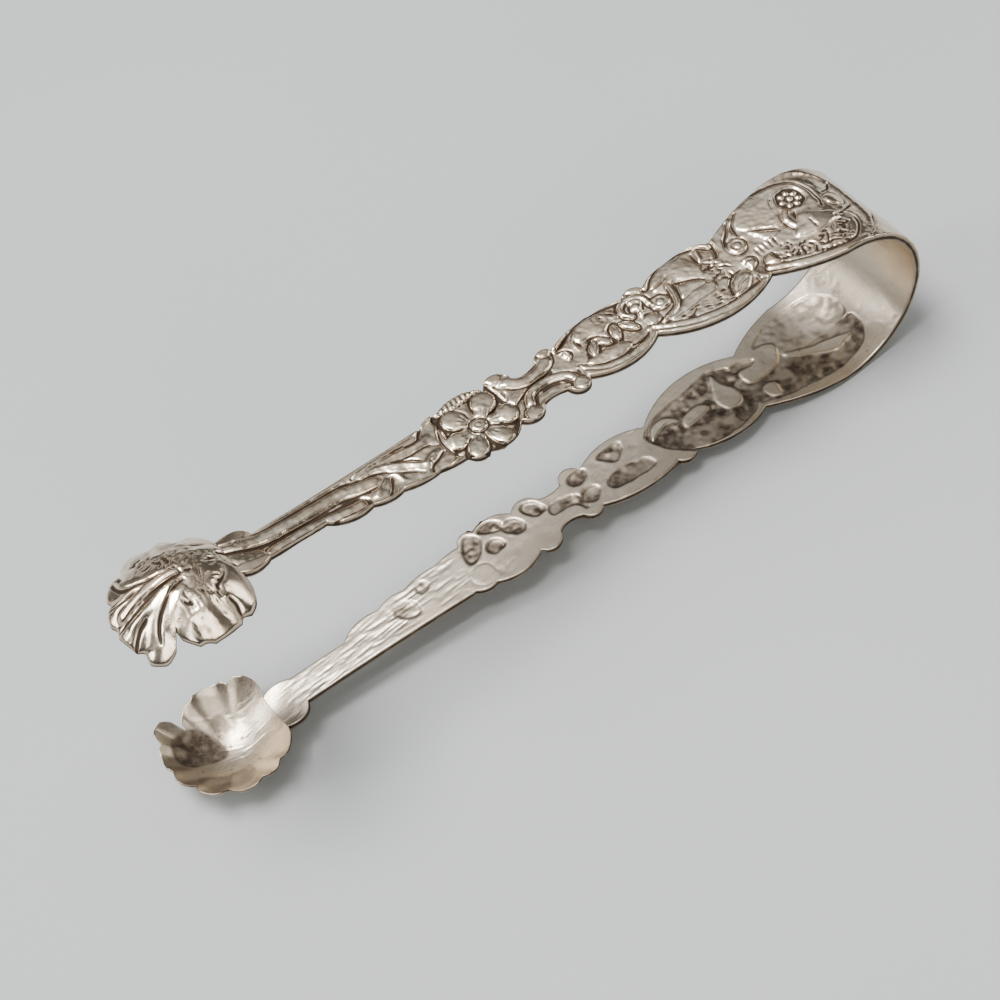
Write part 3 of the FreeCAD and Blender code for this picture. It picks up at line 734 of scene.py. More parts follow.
def bowl_relief(seed):
    """Flutes that fan out from the neck to the notches of the shell's edge."""
    r = Relief(BOWL_MAP, BOWL_FACE, seed)
    r.stroke(((7.1, 2.9), (5.6, 1.6), (3.6, 0.9), (1.6, 0.3), (-1.0, 0.1)), 0.6, 0.26)
    r.stroke(((5.0, 4.6), (4.2, 2.8), (2.8, 1.6), (0.6, 1.0)), 0.7, 0.24)
    r.stroke(((5.0, 5.0), (5.1, 3.5), (4.6, 2.4), (3.7, 1.55), (2.5, 0.7), (1.0, 0.2)), 0.2, -0.34, 0.2)
    r.stroke(((7.4, 2.9), (6.2, 1.9), (5.2, 1.3), (3.8, 0.95)), 0.18, -0.34, 0.4)
    r.bead(((0.2, -0.1), (2.0, 0.05), (4.0, 0.25), (6.2, 0.35)), 0.55, 0.5)
    r.stroke(((-0.6, -0.5), (1.4, -0.6), (3.6, -0.72), (5.4, -0.75), (7.6, -0.5)), 0.24, -0.32, 0.3)
    r.stroke(((0.4, -0.95), (2.6, -1.5), (4.8, -1.7), (6.6, -1.5)), 0.5, 0.3, 0.4)
    r.stroke(((4.6, -2.1), (5.9, -2.4), (7.2, -3.3)), 0.24, -0.32, 0.4)
    r.stroke(((1.0, -1.7), (2.8, -2.1), (4.6, -2.9), (6.0, -4.2)), 0.5, 0.3, 0.4)
    r.stroke(((-0.4, -1.3), (1.2, -1.65), (2.5, -2.3), (3.6, -2.95), (4.4, -3.8), (4.9, -4.9)), 0.22,
             -0.34, 0.3)
    r.stroke(((0.0, -2.2), (1.6, -2.9), (2.8, -3.8), (3.5, -5.0)), 0.6, 0.28, 0.4)
    r.stroke(((-4.8, -0.9), (-4.4, -1.9), (-3.5, -2.7), (-2.7, -3.3), (-2.4, -4.3)), 0.24, -0.24, 0.7)
    r.stroke(((-3.0, -4.3), (-3.5, -5.1), (-3.4, -6.4)), 0.34, -0.3, 0.7)
    for index in range(9):
        start = (-2.6 + 0.55 * index, -2.6 - 0.25 * (index % 3))
        r.stroke((start, (start[0] - 0.3, start[1] - 0.9), (start[0] - 0.2, start[1] - 1.9)), 0.22, -0.1)
    r.stroke(((-1.4, -3.4), (-0.6, -4.6), (0.6, -5.8)), 1.3, 0.2)
    r.stroke(((-7.0, 1.6), (-5.4, 0.6), (-3.6, 0.1)), 0.2, -0.28, 0.3)
    r.stroke(((-6.2, 2.4), (-4.6, 1.9), (-2.4, 1.8), (0.0, 2.4)), 0.5, 0.16)
    r.stroke(((-5.0, 2.7), (-3.9, 2.8), (-2.7, 3.3)), 0.16, -0.12)
    r.stroke(((4.3, 5.2), (4.3, 4.5), (4.5, 3.9)), 0.26, -0.3, 0.2)
    r.hatch(((-5.2, 1.0), (-2.6, 2.4), (1.4, 3.4), (2.8, 2.6), (0.8, 1.0), (-0.2, -1.0), (-2.4, -2.4),
             (-4.6, -1.4)), -0.26, 0.36, 0.13, 0.7)
    r.hatch(((-3.2, -2.2), (-0.4, -1.8), (1.2, -3.4), (-0.6, -4.0), (-3.0, -3.4)), -0.3, 0.34, 0.1, 0.5)
    r.pits(((-0.6, 0.8), (1.2, 0.8), (2.8, 4.6), (1.4, 4.8), (0.4, 2.6)), 34, 0.15, 0.14, 1.0)
    r.pits(((-5.0, 0.6), (-3.8, 0.4), (-4.0, -0.6), (-5.4, -0.4)), 12, 0.14, 0.12, 1.0)
    r.pits(((-4.0, -4.0), (4.0, -3.0), (6.8, -2.0), (6.6, 2.0), (5.0, -4.8), (0.0, -6.8), (-4.4, -5.2)),
           90, 0.08, 0.07, 0.7)
    # painted shade: a cloud of darkness over the bowl's far half, the side that tilts away from the light
    r.shade_cloud(((-5.6, 0.8), (-4.6, 4.6), (-1.0, 7.4), (3.0, 6.8), (6.0, 4.4), (3.4, 2.0), (0.0, 0.6)), 0.42)
    r.finish(0.06, SHEET / 2.0)
    return r


def bowl_inside(seed):
    """The smooth inside of a bowl, with polishing lines and dents."""
    r = Relief(BOWL_MAP, 0.0, seed)
    r.wear(0.8, 0.02)
    r.wear(0.2, 0.004)
    for _ in range(46):
        start = (r.random.uniform(-7.0, 3.0), r.random.uniform(-4.6, 4.6))
        length = r.random.uniform(1.0, 3.2)
        lean = r.random.uniform(-0.5, -0.1)
        path = (start, (start[0] + length / 2, start[1] + lean * length / 2),
                (start[0] + length, start[1] + lean * length))
        r.stroke(path, r.random.uniform(0.06, 0.11), -r.random.uniform(0.015, 0.04))
    r.pits(((-2.0, -1.0), (3.0, -2.0), (3.0, 3.0), (-2.0, 3.0)), 24, 0.12, 0.03, 0.5)
    for outline, dark in (
        (((0.4, -0.4), (3.0, -0.2), (5.6, -0.8), (5.9, -2.6), (4.4, -4.4), (2.0, -4.6), (0.6, -3.0)), 0.9),
        (((-1.8, -2.6), (-0.4, -2.8), (0.4, -4.2), (-1.2, -4.6)), 0.6),
        (((-3.4, -5.2), (0.0, -5.0), (2.0, -6.0), (-0.6, -6.8)), 0.35),
        (((-0.4, 2.6), (2.4, 2.2), (5.0, 1.4), (5.4, 3.6), (2.4, 5.6), (-0.2, 5.0)), 0.45),
    ):
        place, _, _, inside = r.mask(outline, 1.0)
        ragged = np.clip(inside * 1.5 - 0.25 + 0.2 * r.drift[0][place], 0.0, 1.0)
        r.patina[place] = np.maximum(r.patina[place], dark * ragged)
    return r


# ---------------------------------------------------------------- surfaces

def sheet_middle(station):
    """Middle of the upper arm's sheet, and its outward direction, in the plane of X and Z."""
    angle = math.pi / 2.0 + BOW_WRAP - (BOW_END - station) / BOW_RADIUS
    slope = np.arcsin((np.maximum(station, BOW_END) - SWEEP_REACH) / ARM_RADIUS)
    on_bow = station < BOW_END
    x = np.where(on_bow, BOW_RADIUS * np.cos(angle), -station)
    z = np.where(on_bow, BOW_RADIUS * np.sin(angle), SWEEP_RISE - ARM_RADIUS * np.cos(slope))
    out_x = np.where(on_bow, np.cos(angle), np.sin(slope))
    out_z = np.where(on_bow, np.sin(angle), np.cos(slope))
    return x, z, out_x, out_z


NECK_HEIGHT = float(sheet_middle(np.array([NECK]))[1][0])
CREST = NECK_HEIGHT + NECK_STEP + BOWL_CURVE * BOWL_REACH ** 2


def bowl_point(towards_tip, across, offset, lift):
    """A place on the upper bowl, bent out by lift at its neck, in the strip frame."""
    x = -(NECK + BOWL_REACH) - towards_tip
    y = across - BOWL_SHIFT
    z = CREST - BOWL_CURVE * (towards_tip ** 2 + across ** 2) + offset
    from_neck = x + NECK
    above = z - NECK_HEIGHT - NECK_STEP
    return np.stack([
        -NECK + from_neck * math.cos(lift) + above * math.sin(lift),
        y,
        NECK_HEIGHT + NECK_STEP - from_neck * math.sin(lift) + above * math.cos(lift),
    ], axis=-1)


def arm_point(station, across, offset, lift):
    """A place on the upper arm, which takes the bowl's arched section as it nears the neck."""
    x, z, out_x, out_z = sheet_middle(station)
    plain = np.stack([x + offset * out_x, across + 0.0 * offset, z + offset * out_z], axis=-1)
    blend = smooth_step((station - NECK + NECK_BLEND) / NECK_BLEND)[..., None]
    at_neck = bowl_point(-BOWL_REACH + 0.0 * station, across + BOWL_SHIFT, offset, lift)
    along = np.stack([x + NECK, 0.0 * x, z - NECK_HEIGHT], axis=-1)
    return plain * (1.0 - blend) + (at_neck + along) * blend


def turned_over(points):
    """The lower arm is the upper one turned half way round X."""
    return points * np.array([1.0, -1.0, -1.0])


def to_row_frame(points):
    """From the strip frame in millimetres to the row frame in metres."""
    c, s = math.cos(REST_TIP), math.sin(REST_TIP)
    x, y, z = points[..., 0], points[..., 1], points[..., 2]
    tipped = np.stack([x * c + z * s, y, z * c - x * s], axis=-1)
    return (tipped + np.array(REST_DROP)) * MM


def across_grid(station):
    """Places across the strip at each station, closer together next to both edges."""
    far = half_width(station, FAR_EDGE)[:, None]
    near = -half_width(station, NEAR_EDGE)[:, None]
    lip = np.array(LIP)[None, :]
    middle = np.linspace(0.0, 1.0, COLUMNS + 2)[None, 1:-1]
    low, high = near + LIP[-1], far - LIP[-1]
    return np.hstack([near + lip, low + (high - low) * middle, far - lip[:, ::-1]])


def lip_drop(gap):
    """How far a worn round edge falls, at a distance from the edge."""
    inward = np.clip(LIP_ROUND - gap, 0.0, LIP_ROUND)
    return LIP_ROUND - np.sqrt(LIP_ROUND ** 2 - inward ** 2)


# ---------------------------------------------------------------- meshes

def grid_faces(rows, columns, wrap=False, first=0, flip=False):
    """Quads between the points of a grid, numbered from first."""
    i = np.arange(rows if wrap else rows - 1)
    j = np.arange(columns - 1)
    a = first + i[:, None] * columns + j[None, :]
    b = first + ((i + 1) % rows)[:, None] * columns + j[None, :]
    quads = np.stack([a, a + 1, b + 1, b], axis=-1).reshape(-1, 4)
    return quads[:, ::-1] if flip else quads


def mesh_object(name, points, quads, caps, masks, material):
    """A smooth mesh object with a mask colour at each point, closed by a few flat caps.

    The caps have points of their own, so that they don't bend the look of the faces they meet.
    """
    rims = np.concatenate(caps)
    capped = len(rims)
    points = np.vstack([points, points[rims]])
    masks = np.vstack([masks, masks[rims]])
    mesh = bpy.data.meshes.new(name)
    mesh.vertices.add(len(points))
    mesh.vertices.foreach_set("co", points.astype(np.float32).ravel())
    counts = np.array([4] * len(quads) + [len(cap) for cap in caps])
    corners = np.concatenate([quads.ravel(), len(points) - capped + np.arange(capped)])
    mesh.loops.add(len(corners))
    mesh.loops.foreach_set("vertex_index", corners.astype(np.int32))
    mesh.polygons.add(len(counts))
    mesh.polygons.foreach_set("loop_start", (np.cumsum(counts) - counts).astype(np.int32))
    mesh.polygons.foreach_set("use_smooth", np.arange(len(counts)) < len(quads))
    mesh.update(calc_edges=True)
    mesh.validate()
    colours = mesh.color_attributes.new("mask", "FLOAT_COLOR", "POINT")
    opaque = np.column_stack([masks, np.ones(len(masks))])
    colours.data.foreach_set("color", opaque.astype(np.float32).ravel())
    mesh.materials.append(material)
    made = bpy.data.objects.new(name, mesh)
    bpy.context.scene.collection.objects.link(made)
    return made


def face_masks(shade_out, shade_in, patina, edge_mask, wall_count):
    """Mask colours of an outer grid, an inner grid and the wall points: cuts, back patina, edge. The walls
    get painted shade in the cut and edge channels, and the faces next to an edge get a fading painted
    shade.
    """
    size = shade_out.size
    masks = np.zeros((2 * size + wall_count, 3))
    masks[:size, 0] = shade_out.ravel()
    masks[size:2 * size, 0] = shade_in.ravel()
    masks[size:2 * size, 1] = (INNER_MARK + (1.0 - INNER_MARK) * patina).ravel()
    # painted shade: the edge channel darkens the walls and, fading, the faces next to each edge; the walls
    # are also darkened through the cut channel
    masks[:2 * size, 2] = np.tile(edge_mask, 2 * len(shade_out))
    masks[2 * size:, 0] = PAINTED_WALL_SHADE
    masks[2 * size:, 2] = 1.0
    return masks


def strip_mesh(name, outer, inner, shades, material):
    """A closed length of strip from grids of its two faces: rows along it, columns across it."""
    rows, columns = outer.shape[:2]
    size = rows * columns
    wall_near = (outer[:, 0] + inner[:, 0]) / 2.0 + (outer[:, 0] - outer[:, 1]) * WALL_BULGE
    wall_far = (outer[:, -1] + inner[:, -1]) / 2.0 + (outer[:, -1] - outer[:, -2]) * WALL_BULGE
    points = np.vstack([outer.reshape(-1, 3), inner.reshape(-1, 3), wall_near, wall_far])
    quads = [grid_faces(rows, columns), grid_faces(rows, columns, first=size, flip=True)]
    i = np.arange(rows - 1)
    for column, wall, flip in ((0, 2 * size, False), (columns - 1, 2 * size + rows, True)):
        top = i * columns + column
        middle = wall + i
        for a, b, step_a, step_b in ((top, middle, columns, 1), (middle, size + top, 1, columns)):
            quad = np.stack([a, a + step_a, b + step_b, b], axis=-1)
            quads.append(quad[:, ::-1] if flip else quad)
    caps = []
    for row in (0, rows - 1):
        across = row * columns + np.arange(columns)
        rim = np.concatenate([across, [2 * size + rows + row], size + across[::-1], [2 * size + row]])
        caps.append(rim if row else rim[::-1])
    from_edge = np.minimum(np.arange(columns), np.arange(columns)[::-1])
    masks = face_masks(*shades, np.exp(-from_edge / EDGE_FADE), 2 * rows)
    return mesh_object(name, points, np.vstack(quads), caps, masks, material)


def strip_faces(maps, station, across, gap):
    """Heights of both faces of the strip, and their shades, at places along and across it."""
    outside, inside = maps
    high = outside.sample(outside.height, station, across) - lip_drop(gap)
    low = INNER_LEVEL + inside.sample(inside.height, station, across) + INNER_LIP * lip_drop(gap)
    shades = (
        outside.sample(outside.shade, station, across),
        inside.sample(inside.shade, station, across),
        inside.sample(inside.patina, station, across),
    )
    return high, low, shades


def arm_length(name, start, end, maps, lift, lower, material):
    """A length of one arm between two stations."""
    corners = [corner[0] for corner in FAR_EDGE + NEAR_EDGE if start < corner[0] < end]
    count = int((end - start) / STEP)
    station = np.unique(np.concatenate([np.linspace(start, end, count + 1), corners]))
    across = across_grid(station)
    station = np.broadcast_to(station[:, None], across.shape)
    gap = np.minimum(half_width(station, FAR_EDGE) - across, across + half_width(station, NEAR_EDGE))
    high, low, shades = strip_faces(maps, station, across, gap)
    outer = arm_point(station, across, high, lift)
    inner = arm_point(station, across, low, lift)
    if lower:
        outer, inner = turned_over(outer), turned_over(inner)
    return strip_mesh(name, to_row_frame(outer), to_row_frame(inner), shades, material)


def bow(name, upper, lower, material):
    """The whole half ring, from the lower arm's first station to the upper arm's."""
    total = BOW_WRAP + math.pi / 2.0
    count = int(2.0 * total * BOW_RADIUS / STEP)
    angle = np.linspace(-math.pi / 2.0, math.pi / 2.0, count + 1)
    across = across_grid(np.zeros(len(angle)))
    angle = np.broadcast_to(angle[:, None], across.shape)
    station = BOW_END - (total - np.abs(angle)) * BOW_RADIUS
    gap = BOW_WIDTH / 2.0 - np.abs(across)
    above = strip_faces(upper, station, across, gap)
    below = strip_faces(lower, station, -across, gap)
    on_top = angle >= 0.0
    high = np.where(on_top, above[0], below[0])
    low = np.where(on_top, above[1], below[1])
    shades = [np.where(on_top, a, b) for a, b in zip(above[2], below[2])]
    outer = np.stack([(BOW_RADIUS + high) * np.cos(angle), across, (BOW_RADIUS + high) * np.sin(angle)], -1)
    inner = np.stack([(BOW_RADIUS + low) * np.cos(angle), across, (BOW_RADIUS + low) * np.sin(angle)], -1)
    return strip_mesh(name, to_row_frame(outer), to_row_frame(inner), shades, material)


def rim_ripple(turns):
    """Round the bowl's edge: 1 on the crown of each lobe, -1 in each notch, 0 at the neck."""
    notches = np.radians([lobe[0] for lobe in BOWL_LOBES if lobe[2] > 0.0])
    nearest = np.min(np.abs(turns[:, None] - notches[None, :]), axis=1)
    shape = 1.0 - 2.0 * np.exp(-(nearest / RIPPLE_WIDTH) ** 2)
    from_neck = np.minimum(turns, 2.0 * math.pi - turns)
    return shape * np.clip((from_neck - RIPPLE_START) / RIPPLE_START, 0.0, 1.0)


def bowl(name, dish, stem, lift, lower, material):
    """A shell bowl, from spokes of points round its centre."""
    corner_turns = [math.atan2(place[1], place[0]) % (2.0 * math.pi) for place, _ in bowl_corners()]
    count = int(2.0 * math.pi * BOWL_RADIUS / STEP)
    turns = np.linspace(0.0, 2.0 * math.pi, count, endpoint=False)
    turns = np.unique(np.round(np.concatenate([turns, corner_turns]), 7))
    ripple = rim_ripple(turns)[:, None]
    edge = bowl_edge(turns)[:, None] - NOTCH_CUT * np.maximum(-ripple, 0.0)
    rings = int((BOWL_RADIUS - LIP[-1]) / STEP)
    inward = np.linspace(0.0, 1.0, rings)[None, 1:-1]
    radius = np.hstack([HUB + 0.0 * edge, (edge - LIP[-1]) * inward, edge - np.array(LIP)[None, ::-1]])
    along = -radius * np.cos(turns)[:, None]
    across = radius * np.sin(turns)[:, None]
    past_neck = along + BOWL_REACH
    gap = np.where(past_neck < NECK_SHELTER, 1.0, edge - radius)

    outside, inside = dish
    stem_outside, stem_inside = stem
    station = np.minimum(NECK + past_neck, stem_outside.along[-1])
    merge = smooth_step(past_neck / NECK_MERGE)

    def merged(field, stem_field, map_, stem_map):
        """A field of the bowl's map, which takes over from the stem's past the neck."""
        return (map_.sample(field, along, across) * merge
                + stem_map.sample(stem_field, station, across - BOWL_SHIFT) * (1.0 - merge))

    high = merged(outside.height, stem_outside.height, outside, stem_outside) - lip_drop(gap)
    low = merged(BOWL_INNER_LEVEL - inside.height, INNER_LEVEL + stem_inside.height, inside, stem_inside)
    low = low + INNER_LIP * lip_drop(gap)
    wave = RIPPLE * ripple * (radius / BOWL_RADIUS) ** 3
    shades = (
        merged(outside.shade, stem_outside.shade, outside, stem_outside),
        merged(inside.shade, stem_inside.shade, inside, stem_inside),
        merged(inside.patina, stem_inside.patina, inside, stem_inside),
    )
    outer = bowl_point(along, across, high + wave, lift)
    inner = bowl_point(along, across, low + wave, lift)
    if lower:
        outer, inner = turned_over(outer), turned_over(inner)
    outer, inner = to_row_frame(outer), to_row_frame(inner)

    rows, columns = outer.shape[:2]
    size = rows * columns
    bulge = np.where(past_neck[:, -1:] < 1e-6, 0.0, WALL_BULGE)
    wall = (outer[:, -1] + inner[:, -1]) / 2.0 + (outer[:, -1] - outer[:, -2]) * bulge
    points = np.vstack([outer.reshape(-1, 3), inner.reshape(-1, 3), wall])
    quads = [grid_faces(rows, columns, True), grid_faces(rows, columns, True, size, True)]
    i = np.arange(rows)
    after = (i + 1) % rows
    top, top_after = i * columns + columns - 1, after * columns + columns - 1
    middle, middle_after = 2 * size + i, 2 * size + after
    quads.append(np.stack([top, middle, middle_after, top_after], axis=-1))
    quads.append(np.stack([middle, size + top, size + top_after, middle_after], axis=-1))
    caps = [(i * columns)[::-1], size + i * columns]
    masks = face_masks(*shades, np.exp(-np.arange(columns)[::-1] / EDGE_FADE), rows)
    return mesh_object(name, points, np.vstack(quads), caps, masks, material)


# ---------------------------------------------------------------- material

# Colours
POLISHED_SILVER = ((0.82, 0.68, 0.53), (0.92, 0.82, 0.68))
DULL_SILVER = (0.56, 0.44, 0.32)
INNER_SILVER = (0.50, 0.45, 0.38)
PATINA = (0.13, 0.105, 0.085)
# painted shade on the side walls and on the faces next to an edge
PAINTED_EDGE_SHADE = (0.24, 0.165, 0.11)
# brown tarnish in the cuts, and painted shade on the side walls and on a bowl's far half
TARNISH_AND_PAINTED_SHADE = (0.05, 0.034, 0.024)
TABLE_SHADES = ((0.365, 0.384, 0.391), (0.39, 0.408, 0.415))

# Noise, in waves per metre
BROAD_WAVES = 230.0
CLOUD_WAVES = 800.0
FINE_WAVES = 5200.0
LINE_WAVES = 6000.0
LINE_SQUEEZE = 0.07        # the lines' waves along the strip, next to those across it
TABLE_WAVES = 9.0

def node(tree, kind, **values):
    """A shader node with some of its properties and sockets set."""
    made = tree.nodes.new(kind)
    for key, value in values.items():
        if hasattr(made, key):
            setattr(made, key, value)
        else:
            made.inputs[key.replace("_", " ")].default_value = value
    return made


def ramp(tree, source, stops):
    """A colour ramp over a value."""
    made = tree.nodes.new("ShaderNodeValToRGB")
    elements = made.color_ramp.elements
    while len(elements) < len(stops):
        elements.new(0.5)
    for element, (place, colour) in zip(elements, stops):
        element.position = place
        element.color = (*colour, 1.0)
    tree.links.new(source, made.inputs["Fac"])
    return made.outputs["Color"]


def grey(level):
    """A colour with no hue."""
    return (level, level, level)


def mixed(tree, factor, first, second):
    """A mix of two colours, each a socket or a plain colour."""
    made = tree.nodes.new("ShaderNodeMix")
    made.data_type = "RGBA"
    for value, name in ((factor, "Factor"), (first, "A"), (second, "B")):
        socket = [s for s in made.inputs if s.name == name and s.enabled][0]
        if isinstance(value, bpy.types.NodeSocket):
            tree.links.new(value, socket)
        else:
            socket.default_value = value if isinstance(value, float) else (*value, 1.0)
    return [s for s in made.outputs if s.enabled][0]


def maths(tree, operation, first, second=0.0):
    """A sum or product of two numbers, each a socket or a plain number."""
    made = tree.nodes.new("ShaderNodeMath")
    made.operation = operation
    for value, socket in zip((first, second), made.inputs):
        if isinstance(value, bpy.types.NodeSocket):
            tree.links.new(value, socket)
        else:
            socket.default_value = value
    return made.outputs[0]


def noise(tree, place, scale, detail, roughness=0.55):
    """A noise value at a number of waves per metre."""
    made = node(tree, "ShaderNodeTexNoise", Scale=scale, Detail=detail, Roughness=roughness)
    tree.links.new(place, made.inputs["Vector"])
    return made.outputs["Fac"]


def old_silver():
    """Worn silver: bright where hands polish it, warm in the hollows, brown tarnish in the cuts, painted
    shade on the edges and side walls.
    """
    material = bpy.data.materials.new("old_silver")
    material.use_nodes = True
    tree = material.node_tree
    tree.nodes.clear()
    shader = node(tree, "ShaderNodeBsdfPrincipled")
    output = node(tree, "ShaderNodeOutputMaterial")
    tree.links.new(shader.outputs["BSDF"], output.inputs["Surface"])
    place = node(tree, "ShaderNodeTexCoord").outputs["Object"]
    mask = node(tree, "ShaderNodeAttribute", attribute_name="mask")
    parts = node(tree, "ShaderNodeSeparateColor")
    tree.links.new(mask.outputs["Color"], parts.inputs["Color"])
    # the red channel holds the cuts' tarnish and painted shade, the blue one the painted edge shade
    cut, back, edge = (parts.outputs[name] for name in ("Red", "Green", "Blue"))
    inner = ramp(tree, back, ((0.1, grey(0.0)), (0.2, grey(1.0))))
    patina_amount = ramp(tree, back, ((INNER_MARK + 0.08, grey(0.0)), (0.85, grey(1.0))))

    broad = noise(tree, place, BROAD_WAVES, 3.0)
    cloud = noise(tree, place, CLOUD_WAVES, 5.0, 0.62)
    fine = noise(tree, place, FINE_WAVES, 4.0, 0.6)
    lengthwise = node(tree, "ShaderNodeMapping")
    lengthwise.inputs["Scale"].default_value = (LINE_SQUEEZE, 1.0, 1.0)
    tree.links.new(place, lengthwise.inputs["Vector"])
    lines = noise(tree, lengthwise.outputs["Vector"], LINE_WAVES, 4.0, 0.7)

    bright = ramp(tree, broad, ((0.35, POLISHED_SILVER[0]), (0.65, POLISHED_SILVER[1])))
    dull = ramp(tree, cloud, ((0.45, grey(0.0)), (0.75, grey(0.6))))
    worn = mixed(tree, dull, bright, DULL_SILVER)
    worn = mixed(tree, maths(tree, "MULTIPLY", inner, 0.75), worn, INNER_SILVER)
    clouded = ramp(tree, cloud, ((0.3, grey(0.55)), (0.6, grey(1.0))))
    blotch = maths(tree, "MULTIPLY", patina_amount, clouded)
    patina = mixed(tree, blotch, worn, PATINA)
    # painted shade on the edges and side walls
    edge_shaded = mixed(tree, maths(tree, "MULTIPLY", edge, 0.65), patina, PAINTED_EDGE_SHADE)
    uneven = ramp(tree, cloud, ((0.25, grey(0.45)), (0.7, grey(1.0))))
    # brown tarnish in the cuts, and painted shade on the side walls and on a bowl's far half
    tarnish_and_painted_shade = ramp(tree, maths(tree, "MULTIPLY", cut, uneven), ((0.10, grey(0.0)), (0.48, grey(1.0))))
    colour = mixed(tree, tarnish_and_painted_shade, edge_shaded, TARNISH_AND_PAINTED_SHADE)
    tree.links.new(colour, shader.inputs["Base Color"])
    tree.links.new(ramp(tree, tarnish_and_painted_shade, ((0.0, grey(1.0)), (1.0, grey(0.5)))), shader.inputs["Metallic"])

    polished = ramp(tree, cloud, ((0.3, grey(0.15)), (0.75, grey(0.30))))
    brushed = ramp(tree, lines, ((0.3, grey(0.24)), (0.7, grey(0.42))))
    satin = mixed(tree, inner, polished, brushed)
    satin = mixed(tree, patina_amount, satin, grey(0.5))
    tree.links.new(mixed(tree, tarnish_and_painted_shade, satin, grey(0.6)), shader.inputs["Roughness"])

    line_height = maths(tree, "MULTIPLY", maths(tree, "MULTIPLY", lines, inner), 1.2)
    marks = maths(tree, "ADD", line_height, fine)
    bump = node(tree, "ShaderNodeBump")
    bump.inputs["Strength"].default_value = 0.4
    bump.inputs["Distance"].default_value = 0.00003
    tree.links.new(marks, bump.inputs["Height"])
    tree.links.new(bump.outputs["Normal"], shader.inputs["Normal"])
    return material


def pale_table():
    """The plain pale surface under the tongs."""
    material = bpy.data.materials.new("pale_table")
    material.use_nodes = True
    tree = material.node_tree
    shader = tree.nodes["Principled BSDF"]
    place = node(tree, "ShaderNodeTexCoord").outputs["Object"]
    waves = noise(tree, place, TABLE_WAVES, 2.0)
    shade = ramp(tree, waves, ((0.3, TABLE_SHADES[0]), (0.7, TABLE_SHADES[1])))
    tree.links.new(shade, shader.inputs["Base Color"])
    shader.inputs["Roughness"].default_value = 0.75
    return material


# ---------------------------------------------------------------- stage

CAMERA_PLACE = Vector((-61.4, -140.0, 215.4)) * MM
CAMERA_AIM = Vector((-4.65, 0.28, 12.0)) * MM
CAMERA_ROLL = math.radians(-18.23)
CAMERA_LENS = 81.6
TABLE_SIZE = 3.0
BRIGHT_SIDE = (0.0, 0.25, 0.97)
SKY = ((0.0, grey(0.06)), (0.35, grey(0.10)), (0.62, grey(0.22)), (0.85, grey(0.60)),
       (1.0, (1.08, 1.10, 1.13)))
SKY_STRENGTH = 0.9
# Name, place and size in metres, power in watts, colour
LIGHTS = (
    ("key", (-0.20, 0.10, 1.0), (0.55, 0.42), 13.5, (1.0, 0.98, 0.95)),
    ("window", (-0.05, -0.80, 0.72), (0.9, 0.55), 4.2, (1.0, 0.97, 0.92)),
    ("side", (-0.75, 0.30, 0.55), (0.25, 0.5), 3.0, (1.0, 0.985, 0.965)),
    ("low", (0.86, -0.18, 0.34), (0.45, 0.35), 1.3, (1.0, 0.98, 0.95)),
)


def add_table():
    """A large plain table top."""
    half = TABLE_SIZE / 2.0
    mesh = bpy.data.meshes.new("table_top")
    mesh.from_pydata([(-half, -half, 0.0), (half, -half, 0.0), (half, half, 0.0), (-half, half, 0.0)], [],
                     [(0, 1, 2, 3)])
    mesh.materials.append(pale_table())
    table = bpy.data.objects.new("table_top", mesh)
    bpy.context.scene.collection.objects.link(table)


def add_light(name, place, size, power, colour):
    """A rectangular soft light that looks at the tongs."""
    data = bpy.data.lights.new(name, "AREA")
    data.shape = "RECTANGLE"
    data.size, data.size_y = size
    data.energy = power
    data.color = colour
    light = bpy.data.objects.new(name, data)
    light.location = place
    light.rotation_mode = "QUATERNION"
    light.rotation_quaternion = (-Vector(place)).to_track_quat("-Z", "Y")
    bpy.context.scene.collection.objects.link(light)


def add_world():
    """A soft room: pale above, darker towards the floor."""
    world = bpy.data.worlds.new("room")
    world.use_nodes = True
    tree = world.node_tree
    place = node(tree, "ShaderNodeTexCoord").outputs["Generated"]
    facing = node(tree, "ShaderNodeVectorMath", operation="DOT_PRODUCT")
    facing.inputs[1].default_value = BRIGHT_SIDE
    tree.links.new(place, facing.inputs[0])
    sky = ramp(tree, facing.outputs["Value"], SKY)
    background = tree.nodes["Background"]
    tree.links.new(sky, background.inputs["Color"])
    background.inputs["Strength"].default_value = SKY_STRENGTH
    bpy.context.scene.world = world


def set_look():
    """A little more contrast than the plain view has."""
    bpy.context.scene.view_settings.look = "AgX - Medium High Contrast"


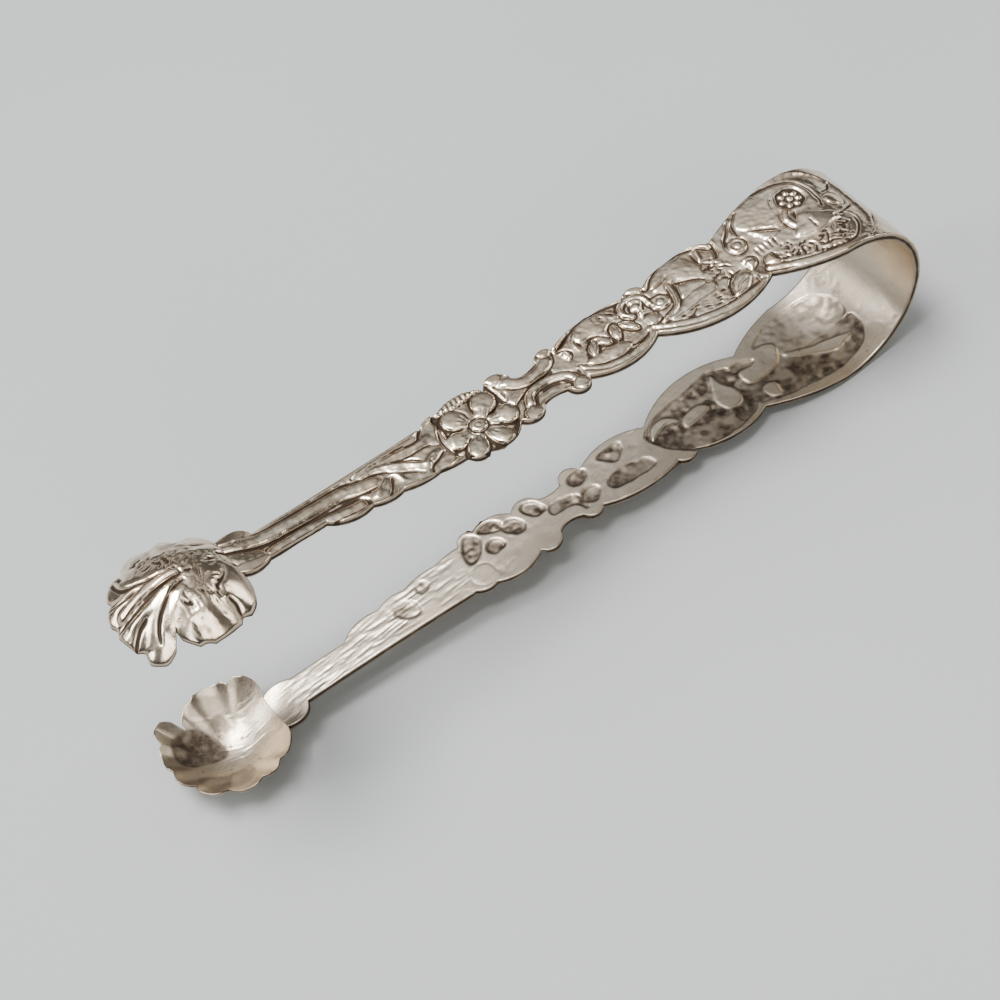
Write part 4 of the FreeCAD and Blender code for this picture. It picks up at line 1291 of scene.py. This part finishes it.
def add_camera():
    """A view from above the near side towards the middle of the tongs."""
    data = bpy.data.cameras.new("camera")
    data.lens = CAMERA_LENS
    data.sensor_width = 36.0
    data.clip_start = 0.01
    data.clip_end = 20.0
    camera = bpy.data.objects.new("camera", data)
    forward = (CAMERA_AIM - CAMERA_PLACE).normalized()
    turn = forward.to_track_quat("-Z", "Y").to_matrix() @ Matrix.Rotation(CAMERA_ROLL, 3, "Z")
    camera.matrix_world = Matrix.Translation(CAMERA_PLACE) @ turn.to_4x4()
    bpy.context.scene.collection.objects.link(camera)
    bpy.context.scene.camera = camera


# ---------------------------------------------------------------- the tongs

# Arm, how far its bowl is bent out, whether it is the turned one, seed of its wear
ARMS = (("upper", UPPER_LIFT, False, 11), ("lower", 0.0, True, 47))
# Piece between two stations
LENGTHS = (
    ("cartouche_panel", 0.0, PANEL_END),
    ("flower_panel", PANEL_END, FLOWER_END),
    ("stem", FLOWER_END, NECK),
)


def with_shade(outside, inside):
    """Work out once what is dark on each of a pair of maps."""
    outside.shade = outside.cavity()
    inside.shade = np.clip(inside.dark, 0.0, 1.0)
    return outside, inside


def stand_in(piece, arm, node_name):
    """Let a worked piece ride on its arm's body in place of the plain node."""
    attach(piece, arm + "_arm")
    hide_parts(arm + "_" + node_name)


def add_tongs():
    """Both arms ride on their bodies, and the bow joins them as one mesh that is attached to neither."""
    silver = old_silver()
    arms = {}
    for arm, lift, lower, seed in ARMS:
        faces = with_shade(arm_relief(seed), inner_relief(seed + 1))
        arms[arm] = faces
        for node_name, start, end in LENGTHS:
            piece = arm_length(arm + "_" + node_name + "_worked", start, end, faces, lift, lower, silver)
            stand_in(piece, arm, node_name)
        dish = with_shade(bowl_relief(seed + 2), bowl_inside(seed + 3))
        stand_in(bowl(arm + "_shell_bowl_worked", dish, faces, lift, lower, silver), arm, "shell_bowl")
    ring = bow("bow_worked", arms["upper"], arms["lower"], silver)
    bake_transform(ring)
    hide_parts("lower_bow_half", "upper_bow_half")


add_tongs()
add_table()
for light in LIGHTS:
    add_light(*light)
add_world()
set_look()
add_camera()
